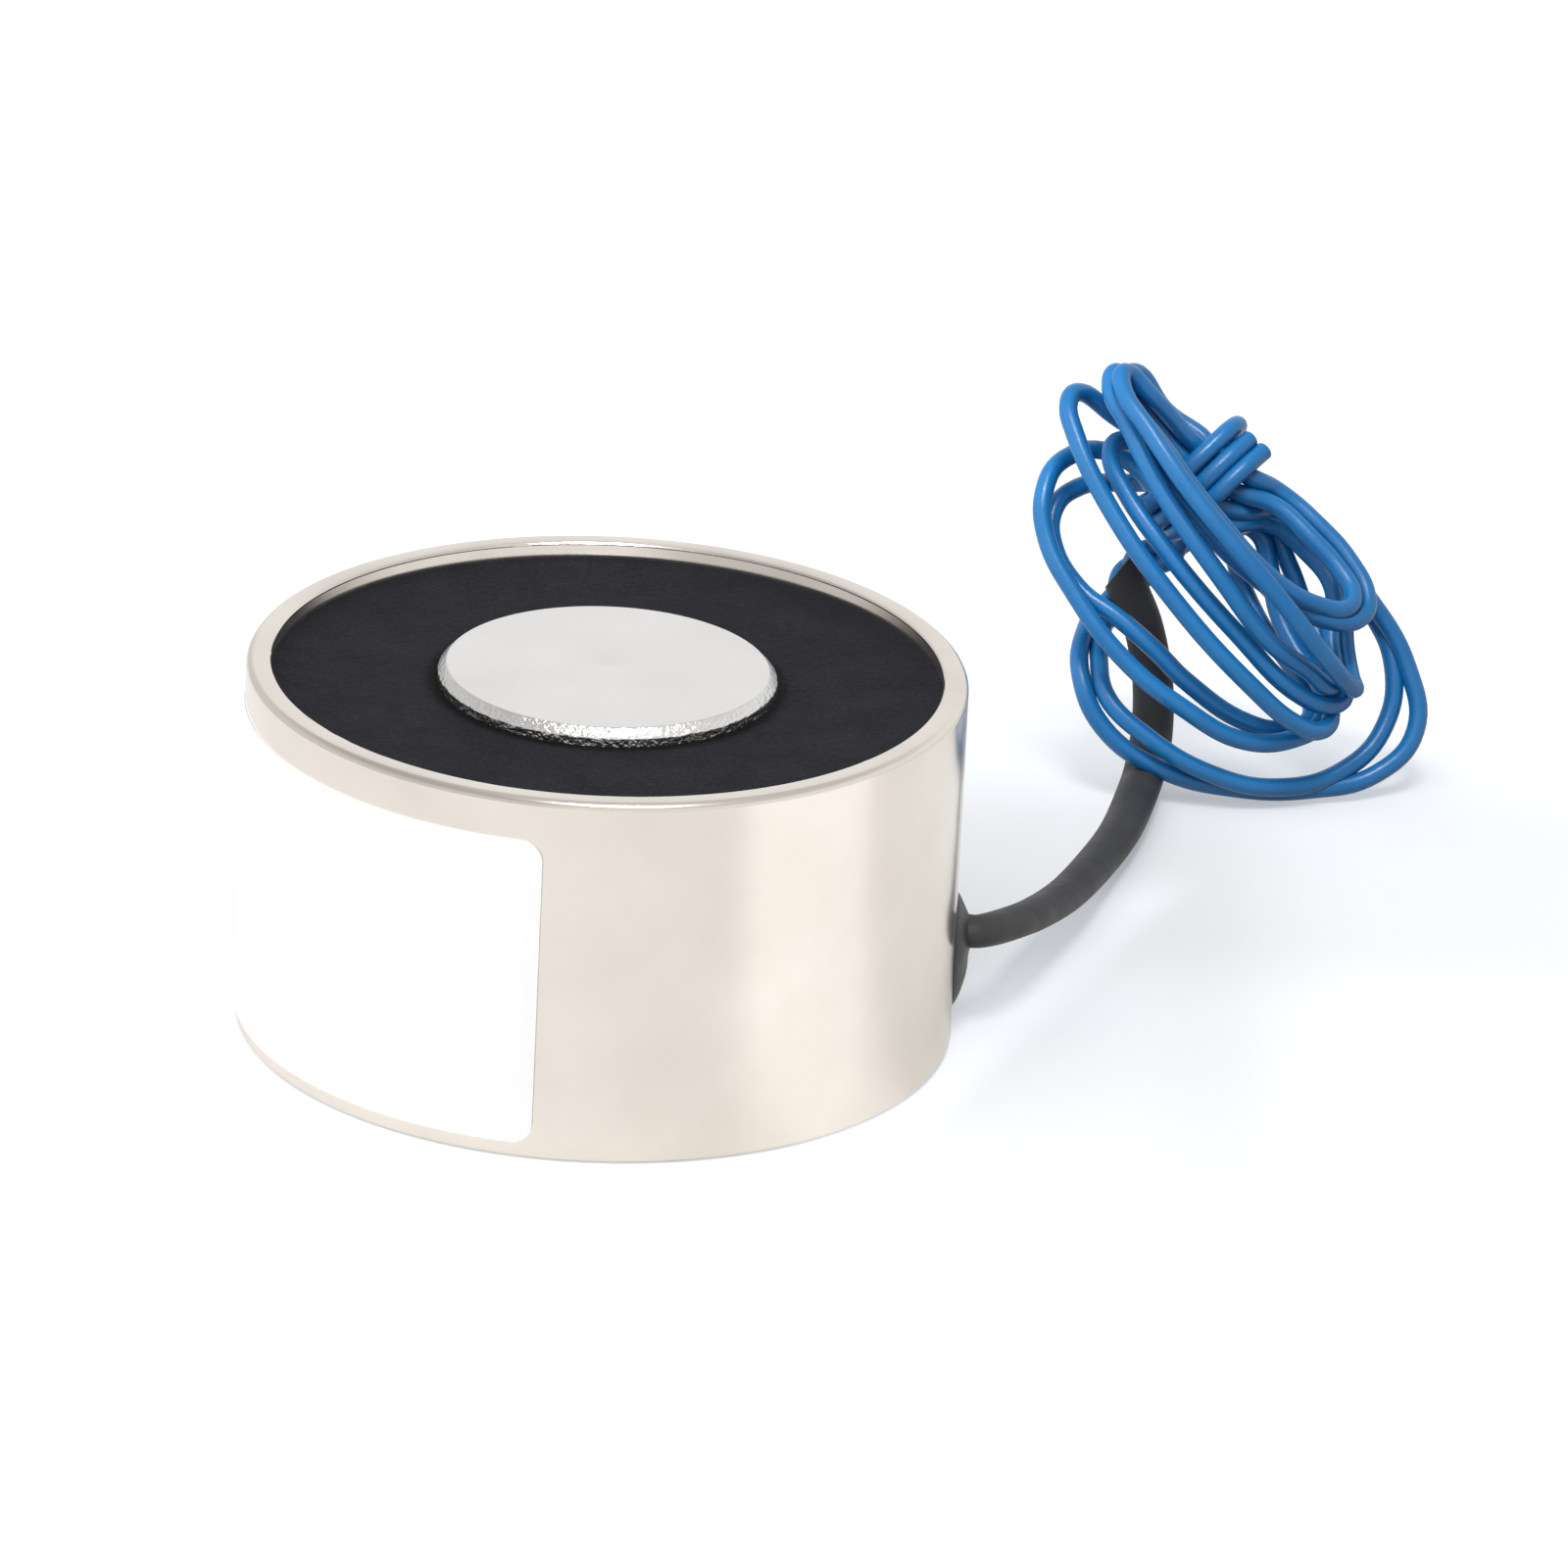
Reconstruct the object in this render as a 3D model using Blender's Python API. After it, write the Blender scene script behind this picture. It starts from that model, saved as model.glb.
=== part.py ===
"""Round holding electromagnet: a nickel-plated steel pot with a centre pole, a wound bobbin
potted between them, and a two-wire lead that leaves the side and ends in a small tied skein.

Metres, +Z up. The origin is the centre of the back face, and the pole face looks up.
"""

from math import cos, pi, radians, sin, sqrt, tan, tau

import bmesh
import bpy
from mathutils import Matrix, Vector

# Housing: the turned steel pot
HOUSING_DIAMETER = 0.034
HOUSING_HEIGHT = 0.018
HOUSING_WALL = 0.0012
HOUSING_FLOOR = 0.003
RIM_ROUND = 0.0004
RIM_INNER_BREAK = 0.00015
BACK_EDGE_BREAK = 0.00025
FLOOR_FILLET = 0.0004

# Centre pole, swaged into the floor of the pot, with the coil's window round it
COIL_WINDOW = 0.0078
POLE_EDGE_BREAK = 0.0004
SPIGOT_DIAMETER = 0.008
SWAGE_FLARE = 0.0004
MOUNT_HOLE_DIAMETER = 0.0033
MOUNT_HOLE_DEPTH = 0.008
MOUNT_HOLE_BREAK = 0.00035
DRILL_POINT_ANGLE = radians(118)

# Bobbin, winding and tape
BOBBIN_HUB_WALL = 0.0007
BOBBIN_FLANGE = 0.0008
BOBBIN_OVERHANG = 0.0003
WIRE_PITCH = 0.0006
WIRE_RIDGE = 0.0001
TAPE_THICKNESS = 0.0002
LEAD_CHANNEL = 0.0022

# Potting, recessed below the rim and poured over the bobbin
POTTING_RECESS = 0.00085
POTTING_COVER = 0.00245

# Lead exit through the wall
EXIT_AZIMUTH = radians(4)
EXIT_ABOVE_FLOOR = 0.0018
EXIT_HOLE_DIAMETER = 0.003
BEAD_HEIGHT = 0.0058
BEAD_WIDTH = 0.0046
BEAD_BULGE = 0.0007
BEAD_BORE = 0.0024

# Blue lead wires, their soldered joints and the magnet-wire tails
LEAD_WIRE_DIAMETER = 0.001
LEAD_WIRE_SPACING = 0.0012
ROOT_BEND = radians(13)
ROOT_REACH = radians(42)
SOLDER_LENGTH = radians(5)
SOLDER_DIAMETER = 0.0007
JOINT_SLEEVE_OVERLAP = radians(4)
JOINT_SLEEVE_WALL = 0.0001
TAIL_LENGTH = radians(12)
TAIL_TUCK = radians(1)
TAIL_DIAMETER = 0.0004
CHANNEL_MARGIN = radians(6)

# Label round the wall
LABEL_WIDTH = 0.030
LABEL_CORNER = 0.001
LABEL_THICKNESS = 0.0001
LABEL_FOOT_MARGIN = 0.0008
LABEL_RIM_MARGIN = 0.0021
LABEL_RIGHT_EDGE = radians(-98.8)

# Free lead outside the pot
SLEEVE_DIAMETER = 0.0017
SKEIN_TIE_RADIUS = 0.0029
SKEIN_TIE_LENGTH = 0.0034

# Clearances
FIT_GAP = 0.0002
STICK_GAP = 0.00005
LEAD_GAP = 0.0003

# Roundness of the turned pieces, the round lumps and the smooth routes
SEGMENTS = 64
INNER_SEGMENTS = 40
BALL_SEGMENTS = 24
ARC_STEPS = 3
ROUTE_STEPS = 12
ROOT_POINTS = 14
LANE_STEP = radians(6)
CUT_OVERSHOOT = radians(2)

# Derived places shared by several pieces
HOUSING_RADIUS = HOUSING_DIAMETER / 2
POT_RADIUS = HOUSING_RADIUS - HOUSING_WALL
POLE_RADIUS = POT_RADIUS - COIL_WINDOW
POTTING_TOP = HOUSING_HEIGHT - POTTING_RECESS
EXIT_HEIGHT = HOUSING_FLOOR + EXIT_ABOVE_FLOOR
HUB_INNER = POLE_RADIUS + FIT_GAP
HUB_OUTER = HUB_INNER + BOBBIN_HUB_WALL
BOBBIN_BOTTOM = HOUSING_FLOOR + FIT_GAP
BOBBIN_TOP = POTTING_TOP - POTTING_COVER
TAPE_OUTER = POT_RADIUS - LEAD_CHANNEL
TAPE_INNER = TAPE_OUTER - TAPE_THICKNESS
WINDING_INNER = HUB_OUTER + FIT_GAP / 2
WINDING_OUTER = TAPE_INNER - FIT_GAP / 2
WINDING_BOTTOM = BOBBIN_BOTTOM + BOBBIN_FLANGE + FIT_GAP / 2
WINDING_TOP = BOBBIN_TOP - BOBBIN_FLANGE - FIT_GAP / 2
POTTING_OUTER = POT_RADIUS - FIT_GAP
SKIRT_INNER = TAPE_OUTER + FIT_GAP
LANE_RADIUS = POT_RADIUS - LEAD_CHANNEL / 2
FLANGE_RADIUS = WINDING_OUTER + BOBBIN_OVERHANG
STICK_RADIUS = HOUSING_RADIUS + STICK_GAP
LABEL_HEIGHT = HOUSING_HEIGHT - LABEL_FOOT_MARGIN - LABEL_RIM_MARGIN
JOINT_BORE_RADIUS = LEAD_WIRE_DIAMETER / 2 + FIT_GAP / 2
JOINT_RADIUS = JOINT_BORE_RADIUS + JOINT_SLEEVE_WALL
CHANNEL_TOP = EXIT_HEIGHT + LEAD_WIRE_SPACING / 2 + JOINT_RADIUS + FIT_GAP

# Route of the black sleeve: out of the bead, down to the surface, along it and up into the skein
SLEEVE_ROUTE = [
    (0.0173, 0.0012, 0.0048),
    (0.0182, 0.0014, 0.0047),
    (0.0196, 0.0036, 0.0042),
    (0.0211, 0.0080, 0.0030),
    (0.0227, 0.0130, 0.0020),
    (0.0243, 0.0190, 0.0012),
    (0.0255, 0.0236, 0.00095),
    (0.0264, 0.0284, 0.00095),
    (0.0269, 0.0316, 0.0012),
    (0.0272, 0.0339, 0.0024),
    (0.0271, 0.0352, 0.0045),
    (0.0265, 0.0362, 0.0069),
    (0.0255, 0.0368, 0.0089),
]
SLEEVE_POINTS = 26

# Route of the blue pair from the sleeve's open end to the tied skein, along its middle
PAIR_ROUTE = [
    (0.0253, 0.0370, 0.0093),
    (0.0250, 0.0376, 0.0107),
    (0.0254, 0.0381, 0.0122),
    (0.0266, 0.0382, 0.0134),
]
PAIR_POINTS = 6

# Skein: three bunches of turns that share one tie, each by its top tip, its front and its end tip
SKEIN_TIE = (0.0303, 0.0365, 0.0150)
SKEIN_TIE_AXIS = (0.79, -0.244, -0.563)
SKEIN_BUNCHES = {
    "floor": ((0.0237, 0.0289, 0.0078), (0.0329, 0.0301, 0.0010), (0.0398, 0.0334, 0.0048), 0.00105),
    "side": ((0.0214, 0.0336, 0.0136), (0.0282, 0.0298, 0.0073), (0.0352, 0.0304, 0.0046), 0.0010),
    "upright": ((0.0244, 0.0362, 0.0190), (0.0292, 0.0302, 0.0129), (0.0364, 0.0300, 0.0068), 0.0021),
}
SKEIN_TIP_SHARE = 0.65
SKEIN_POINTS = 36


def clear_scene():
    for item in list(bpy.data.objects):
        bpy.data.objects.remove(item, do_unlink=True)


def material(name, colour, roughness, metallic=0.0):
    """A Principled material, made once and shared by name."""
    made = bpy.data.materials.get(name)
    if made is None:
        made = bpy.data.materials.new(name)
        made.use_nodes = True
        shader = made.node_tree.nodes["Principled BSDF"]
        shader.inputs["Base Color"].default_value = (*colour, 1.0)
        shader.inputs["Roughness"].default_value = roughness
        shader.inputs["Metallic"].default_value = metallic
    return made


def nickel():
    return material("nickel_plated_steel", (0.72, 0.69, 0.65), 0.25, 1.0)


def potting():
    return material("black_potting", (0.03, 0.032, 0.04), 0.6)


def nylon():
    return material("natural_nylon", (0.82, 0.80, 0.74), 0.5)


def copper():
    return material("enamelled_copper", (0.70, 0.33, 0.15), 0.35, 1.0)


def solder():
    return material("solder", (0.65, 0.65, 0.66), 0.35, 1.0)


def blue_pvc():
    return material("blue_insulation", (0.02, 0.17, 0.50), 0.4)


def black_sleeving():
    return material("black_sleeving", (0.025, 0.025, 0.028), 0.55)


def white_paper():
    return material("white_label", (0.92, 0.92, 0.92), 0.6)


def polyester():
    return material("polyester_tape", (0.85, 0.70, 0.15), 0.4)


def add_object(name, mesh, look):
    """Links a mesh as one named sub-part and shades its round faces smooth."""
    piece = bpy.data.objects.new(name, mesh)
    bpy.context.scene.collection.objects.link(piece)
    mesh.materials.append(look)
    mesh.shade_smooth()
    mesh.set_sharp_from_angle(angle=radians(30))
    return piece


def add_bmesh(name, shape, look):
    """Turns a finished bmesh into a sub-part with its faces pointing outwards."""
    bmesh.ops.remove_doubles(shape, verts=shape.verts, dist=1e-7)
    bmesh.ops.recalc_face_normals(shape, faces=shape.faces)
    mesh = bpy.data.meshes.new(name)
    shape.to_mesh(mesh)
    shape.free()
    return add_object(name, mesh, look)


def polar(radius, azimuth, height):
    return Vector((radius * cos(azimuth), radius * sin(azimuth), height))


def turned_bmesh(outline, segments, sweep=tau, start=0.0):
    """Spins a closed (radius, height) outline about Z. One that starts on the axis also ends there."""
    shape = bmesh.new()
    verts = [shape.verts.new(polar(radius, start, height)) for radius, height in outline]
    edges = [shape.edges.new(pair) for pair in zip(verts, verts[1:])]
    whole = sweep == tau
    if outline[0][0] > 0 or not whole:
        edges.append(shape.edges.new((verts[-1], verts[0])))
    if not whole:
        shape.faces.new(verts)
    first = list(shape.faces)
    bmesh.ops.spin(
        shape,
        geom=verts + edges + first,
        axis=(0, 0, 1),
        cent=(0, 0, 0),
        angle=sweep,
        steps=segments,
        use_merge=whole,
    )
    return shape


def turned(name, outline, look, segments=SEGMENTS):
    return add_bmesh(name, turned_bmesh(outline, segments), look)


def arc(centre, radius, start, end, steps=ARC_STEPS):
    """Points of an outline's arc, from one angle to the other, in degrees."""
    angles = [radians(start + (end - start) * i / steps) for i in range(steps + 1)]
    return [(centre[0] + radius * cos(a), centre[1] + radius * sin(a)) for a in angles]


def smooth_route(points, count):
    """Evenly spaced points on a smooth curve through a route's own points."""
    knots = [Vector(p) for p in points]
    dense = []
    for i in range(len(knots) - 1):
        before = knots[max(i - 1, 0)]
        here, there = knots[i], knots[i + 1]
        after = knots[min(i + 2, len(knots) - 1)]
        for step in range(ROUTE_STEPS):
            t = step / ROUTE_STEPS
            pull = (there - before) * t + (before * 2 - here * 5 + there * 4 - after) * t**2
            dense.append((here * 2 + pull + (here * 3 - before - there * 3 + after) * t**3) / 2)
    dense.append(knots[-1])
    lengths = [0.0]
    for a, b in zip(dense, dense[1:]):
        lengths.append(lengths[-1] + (b - a).length)
    spaced = []
    index = 0
    for i in range(count):
        want = lengths[-1] * i / (count - 1)
        while index < len(dense) - 2 and lengths[index + 1] < want:
            index += 1
        share = (want - lengths[index]) / (lengths[index + 1] - lengths[index])
        spaced.append(dense[index].lerp(dense[index + 1], min(max(share, 0.0), 1.0)))
    return spaced


def tube_curve(name, points, radii, look, closed=False, resolution=2):
    """A round tube on a POLY spline. radii is one radius, or one for each point."""
    curve = bpy.data.curves.new(name, "CURVE")
    curve.dimensions = "3D"
    curve.bevel_resolution = resolution
    curve.use_fill_caps = not closed
    spline = curve.splines.new("POLY")
    spline.points.add(len(points) - 1)
    spline.use_cyclic_u = closed
    each = radii if isinstance(radii, list) else [radii] * len(points)
    curve.bevel_depth = max(each)
    for place, point, radius in zip(spline.points, points, each):
        place.co = (*point, 1.0)
        place.radius = radius / curve.bevel_depth
    curve.materials.append(look)
    tube = bpy.data.objects.new(name, curve)
    bpy.context.scene.collection.objects.link(tube)
    return tube


def as_mesh(tube):
    """The mesh of a curve tube, for a Boolean."""
    graph = bpy.context.evaluated_depsgraph_get()
    mesh = bpy.data.meshes.new_from_object(tube.evaluated_get(graph))
    name = tube.name
    bpy.data.objects.remove(tube, do_unlink=True)
    piece = bpy.data.objects.new(name, mesh)
    bpy.context.scene.collection.objects.link(piece)
    shape = bmesh.new()
    shape.from_mesh(mesh)
    bmesh.ops.remove_doubles(shape, verts=shape.verts, dist=1e-6)
    bmesh.ops.recalc_face_normals(shape, faces=shape.faces)
    shape.to_mesh(mesh)
    shape.free()
    return piece


def helper(piece):
    """Hides a cutter or a joined shape, which is no sub-part of its own."""
    piece.hide_render = True
    piece.display_type = "WIRE"
    return piece


def boolean(piece, other, operation, self_crossing=False):
    change = piece.modifiers.new(other.name, "BOOLEAN")
    change.operation = operation
    change.solver = "EXACT"
    change.use_self = self_crossing
    change.object = helper(other)


def cylinder_along(name, axis, start, end, radius, look, segments=24):
    """A plain round bar from one point on an axis to another, used as a cutter or a plug."""
    shape = bmesh.new()
    length = end - start
    turn = Vector(axis).to_track_quat("Z", "Y").to_matrix().to_4x4()
    place = Matrix.Translation(Vector(axis).normalized() * (start + length / 2)) @ turn
    bmesh.ops.create_cone(
        shape, cap_ends=True, segments=segments, radius1=radius, radius2=radius, depth=length, matrix=place
    )
    return add_bmesh(name, shape, look)


def ball(name, centre, turn, half_axes, look):
    """A round lump by its centre, its turn and its three half axes."""
    shape = bmesh.new()
    bmesh.ops.create_uvsphere(shape, u_segments=BALL_SEGMENTS, v_segments=BALL_SEGMENTS // 2, radius=1.0)
    place = Matrix.Translation(centre) @ turn @ Matrix.Diagonal((*half_axes, 1.0))
    bmesh.ops.transform(shape, matrix=place, verts=shape.verts)
    return add_bmesh(name, shape, look)


def exit_axis():
    return Vector((cos(EXIT_AZIMUTH), sin(EXIT_AZIMUTH), 0.0))


def radial_bar(name, start, end, radius, look, segments=24):
    """A bar along the exit's own line, at the exit's height."""
    bar = cylinder_along(name, exit_axis(), start, end, radius, look, segments)
    bar.location.z = EXIT_HEIGHT
    return bar


def housing_cup():
    """The pot: outer wall, floor, rounded rim, and a countersunk hole for the pole's spigot."""
    hole = SPIGOT_DIAMETER / 2 + FIT_GAP
    rim = (HOUSING_RADIUS - RIM_ROUND, HOUSING_HEIGHT - RIM_ROUND)
    corner = (POT_RADIUS - FLOOR_FILLET, HOUSING_FLOOR + FLOOR_FILLET)
    outline = [
        (hole + SWAGE_FLARE, 0.0),
        (HOUSING_RADIUS - BACK_EDGE_BREAK, 0.0),
        (HOUSING_RADIUS, BACK_EDGE_BREAK),
        *arc(rim, RIM_ROUND, 0, 90),
        (POT_RADIUS + RIM_INNER_BREAK, HOUSING_HEIGHT),
        (POT_RADIUS, HOUSING_HEIGHT - RIM_INNER_BREAK),
        *arc(corner, FLOOR_FILLET, 0, -90),
        (hole, HOUSING_FLOOR),
        (hole, SWAGE_FLARE),
    ]
    cup = turned("housing_cup", outline, nickel())
    drill = radial_bar(
        "exit_drill",
        POT_RADIUS - HOUSING_WALL,
        HOUSING_RADIUS + HOUSING_WALL,
        EXIT_HOLE_DIAMETER / 2,
        nickel(),
    )
    boolean(cup, drill, "DIFFERENCE")


def pole_core():
    """The pole: bevelled face, shoulder on the pot's floor, swaged spigot and a blind hole behind."""
    spigot = SPIGOT_DIAMETER / 2
    shoulder = HOUSING_FLOOR + FIT_GAP
    hole = MOUNT_HOLE_DIAMETER / 2
    drill_point = hole / tan(DRILL_POINT_ANGLE / 2)
    outline = [
        (0.0, HOUSING_HEIGHT),
        (POLE_RADIUS - POLE_EDGE_BREAK, HOUSING_HEIGHT),
        (POLE_RADIUS, HOUSING_HEIGHT - POLE_EDGE_BREAK),
        (POLE_RADIUS, shoulder),
        (spigot, shoulder),
        (spigot, SWAGE_FLARE),
        (spigot + SWAGE_FLARE, 0.0),
        (hole + MOUNT_HOLE_BREAK, 0.0),
        (hole, MOUNT_HOLE_BREAK),
        (hole, MOUNT_HOLE_DEPTH),
        (0.0, MOUNT_HOLE_DEPTH + drill_point),
    ]
    turned("pole_core", outline, nickel())


def coil_bobbin():
    """The moulded bobbin: a thin hub between two flanges."""
    outline = [
        (HUB_INNER, BOBBIN_BOTTOM),
        (FLANGE_RADIUS, BOBBIN_BOTTOM),
        (FLANGE_RADIUS, BOBBIN_BOTTOM + BOBBIN_FLANGE),
        (HUB_OUTER, BOBBIN_BOTTOM + BOBBIN_FLANGE),
        (HUB_OUTER, BOBBIN_TOP - BOBBIN_FLANGE),
        (FLANGE_RADIUS, BOBBIN_TOP - BOBBIN_FLANGE),
        (FLANGE_RADIUS, BOBBIN_TOP),
        (HUB_INNER, BOBBIN_TOP),
    ]
    turned("coil_bobbin", outline, nylon(), INNER_SEGMENTS)


def coil_winding():
    """The layered magnet wire, whose outer layer shows turn by turn."""
    height = WINDING_TOP - WINDING_BOTTOM
    turns = max(2, round(height / WIRE_PITCH))
    pitch = height / turns
    outline = [(WINDING_INNER, WINDING_BOTTOM)]
    for turn in range(turns):
        outline.append((WINDING_OUTER - WIRE_RIDGE, WINDING_BOTTOM + pitch * turn))
        outline.append((WINDING_OUTER, WINDING_BOTTOM + pitch * (turn + 0.5)))
    outline.append((WINDING_OUTER - WIRE_RIDGE, WINDING_TOP))
    outline.append((WINDING_INNER, WINDING_TOP))
    turned("coil_winding", outline, copper(), INNER_SEGMENTS)


def winding_tape():
    """One wrap of polyester tape over the outer layer."""
    outline = [
        (TAPE_INNER, WINDING_BOTTOM),
        (TAPE_OUTER, WINDING_BOTTOM),
        (TAPE_OUTER, WINDING_TOP - FIT_GAP),
        (TAPE_INNER, WINDING_TOP - FIT_GAP),
    ]
    turned("winding_tape", outline, polyester(), INNER_SEGMENTS)


def potting_compound():
    """The resin: a disc over the bobbin with a skirt down its outside, open where the lead runs round."""
    skirt = max(SKIRT_INNER, FLANGE_RADIUS + FIT_GAP)
    foot = HOUSING_FLOOR + FLOOR_FILLET + FIT_GAP
    outline = [
        (POLE_RADIUS + FIT_GAP, POTTING_TOP),
        (POLE_RADIUS + FIT_GAP, BOBBIN_TOP + FIT_GAP),
        (skirt, BOBBIN_TOP + FIT_GAP),
        (skirt, foot),
        (POTTING_OUTER, foot),
        (POTTING_OUTER, POTTING_TOP),
    ]
    resin = turned("potting_compound", outline, potting())
    half = ROOT_REACH + SOLDER_LENGTH + TAIL_LENGTH + CHANNEL_MARGIN
    beyond = HOUSING_WALL
    channel = [
        (TAPE_OUTER - beyond, foot - beyond),
        (POT_RADIUS + beyond, foot - beyond),
        (POT_RADIUS + beyond, CHANNEL_TOP),
        (TAPE_OUTER - beyond, CHANNEL_TOP),
    ]
    steps = max(4, round(SEGMENTS * half / pi))
    cutter = turned_bmesh(channel, steps, 2 * half, EXIT_AZIMUTH - half)
    boolean(resin, add_bmesh("lead_channel", cutter, potting()), "DIFFERENCE")


def exit_bead():
    """The sealant in the exit hole and its low dome against the wall, bored for the two wires."""
    sink = HOUSING_WALL / 2
    reach = sink + BEAD_BULGE
    spread = 1 / sqrt(1 - (sink / reach) ** 2)
    centre = polar(HOUSING_RADIUS - sink, EXIT_AZIMUTH, EXIT_HEIGHT)
    turn = Matrix.Rotation(EXIT_AZIMUTH, 4, "Z")
    half_axes = (reach, spread * BEAD_WIDTH / 2, spread * BEAD_HEIGHT / 2)
    bead = ball("exit_bead", centre, turn, half_axes, black_sleeving())
    top = HOUSING_HEIGHT
    inside_wall = [(0.0, top), (STICK_RADIUS, top), (STICK_RADIUS, -top), (0.0, -top)]
    boolean(bead, turned("wall_shape", inside_wall, nickel()), "DIFFERENCE")
    plug = radial_bar(
        "exit_plug",
        POT_RADIUS + FIT_GAP,
        HOUSING_RADIUS + BEAD_BULGE / 2,
        EXIT_HOLE_DIAMETER / 2 - FIT_GAP / 2,
        black_sleeving(),
    )
    boolean(bead, plug, "UNION")
    bore = radial_bar(
        "exit_bore",
        POT_RADIUS - HOUSING_WALL,
        HOUSING_RADIUS + 2 * BEAD_BULGE,
        BEAD_BORE / 2,
        black_sleeving(),
    )
    boolean(bead, bore, "DIFFERENCE")


def lane_points(start, end, side, height):
    """Points along the lane between the tape and the wall, at angles counted from the exit."""
    steps = max(2, round((end - start) / LANE_STEP))
    angles = [start + (end - start) * i / steps for i in range(steps + 1)]
    return [polar(LANE_RADIUS, EXIT_AZIMUTH + side * a, height) for a in angles]


def lead_end(side, label):
    """One lead inside the pot: blue root, soldered joint, its insulating sleeve and the copper tail."""
    height = EXIT_HEIGHT + side * LEAD_WIRE_SPACING / 2
    end_gap = FIT_GAP / LANE_RADIUS
    root = [
        polar(HOUSING_RADIUS + FIT_GAP / 2, EXIT_AZIMUTH, height),
        polar((HOUSING_RADIUS + POT_RADIUS) / 2, EXIT_AZIMUTH, height),
        polar(LANE_RADIUS + LEAD_WIRE_DIAMETER / 2, EXIT_AZIMUTH + side * ROOT_BEND / 4, height),
        *lane_points(ROOT_BEND, ROOT_REACH, side, height),
    ]
    tube_curve(f"blue_root_{label}", smooth_route(root, ROOT_POINTS), LEAD_WIRE_DIAMETER / 2, blue_pvc())
    solder_start = ROOT_REACH + end_gap
    solder_end = solder_start + SOLDER_LENGTH
    solder_bar = lane_points(solder_start, solder_end, side, height)
    tube_curve(f"solder_joint_{label}", solder_bar, SOLDER_DIAMETER / 2, solder())
    tail_start = solder_end + end_gap
    tail = lane_points(tail_start, tail_start + TAIL_LENGTH, side, height)
    last = EXIT_AZIMUTH + side * (tail_start + TAIL_LENGTH + TAIL_TUCK)
    tail.append(polar(TAPE_OUTER + TAIL_DIAMETER / 2 + LEAD_GAP, last, height))
    tube_curve(f"copper_tail_{label}", tail, TAIL_DIAMETER / 2, copper(), resolution=1)
    sleeve_start = ROOT_REACH - JOINT_SLEEVE_OVERLAP
    sleeve_end = tail_start + JOINT_SLEEVE_OVERLAP / 2
    outside = lane_points(sleeve_start, sleeve_end, side, height)
    inside = lane_points(sleeve_start - CUT_OVERSHOOT, sleeve_end + CUT_OVERSHOOT, side, height)
    shell = as_mesh(tube_curve(f"joint_sleeve_{label}", outside, JOINT_RADIUS, black_sleeving()))
    hollow = as_mesh(tube_curve(f"joint_hollow_{label}", inside, JOINT_BORE_RADIUS, black_sleeving()))
    boolean(shell, hollow, "DIFFERENCE")


def rating_label():
    """A blank paper label with rounded corners, stuck round the wall."""
    shape = bmesh.new()
    half_width = LABEL_WIDTH / 2 - LABEL_CORNER
    half_height = LABEL_HEIGHT / 2 - LABEL_CORNER
    corners = [(1, 1, 0), (-1, 1, 90), (-1, -1, 180), (1, -1, 270)]
    outline = []
    for across, upward, start in corners:
        centre = (across * half_width, upward * half_height)
        outline += arc(centre, LABEL_CORNER, start, start + 90, 4)
    shape.faces.new([shape.verts.new((x, y, 0.0)) for x, y in outline])
    columns = round(LABEL_WIDTH / (STICK_RADIUS * tau / SEGMENTS))
    for column in range(1, columns):
        x = -LABEL_WIDTH / 2 + LABEL_WIDTH * column / columns
        everything = shape.verts[:] + shape.edges[:] + shape.faces[:]
        bmesh.ops.bisect_plane(shape, geom=everything, plane_co=(x, 0, 0), plane_no=(1, 0, 0))
    grown = bmesh.ops.extrude_face_region(shape, geom=shape.faces[:])
    outside = {v for v in grown["geom"] if isinstance(v, bmesh.types.BMVert)}
    middle = LABEL_RIGHT_EDGE - LABEL_WIDTH / 2 / STICK_RADIUS
    for vert in shape.verts:
        radius = STICK_RADIUS + (LABEL_THICKNESS if vert in outside else 0.0)
        height = LABEL_FOOT_MARGIN + LABEL_HEIGHT / 2 + vert.co.y
        vert.co = polar(radius, middle + vert.co.x / STICK_RADIUS, height)
    add_bmesh("rating_label", shape, white_paper())


def lead_sleeve():
    """The black sleeving over both wires, as one plain tube."""
    points = smooth_route(SLEEVE_ROUTE, SLEEVE_POINTS)
    tube_curve("lead_sleeve", points, SLEEVE_DIAMETER / 2, black_sleeving())


def blue_pair():
    """The two blue wires between the sleeve's open end and the skein."""
    points = smooth_route(PAIR_ROUTE, PAIR_POINTS)
    run = (points[-1] - points[0]).normalized()
    beside = run.cross(Vector(SKEIN_TIE_AXIS)).normalized() * LEAD_WIRE_SPACING / 2
    for label, side in (("a", 1), ("b", -1)):
        route = [point + beside * side for point in points]
        tube_curve(f"blue_lead_{label}", route, LEAD_WIRE_DIAMETER / 2, blue_pvc())


def turn_point(top, front, end, angle):
    """A point of one turn, which leaves the tie at 0, passes its top tip, its front and its end tip."""
    centre = (top + end) / 2
    half = (end - top) / 2
    back = Vector(SKEIN_TIE) - centre
    ahead = centre - front
    along = cos(angle)
    across = back * (1 + along) / 2 + ahead * (1 - along) / 2
    return centre - half * sin(angle) + across * along


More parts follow.
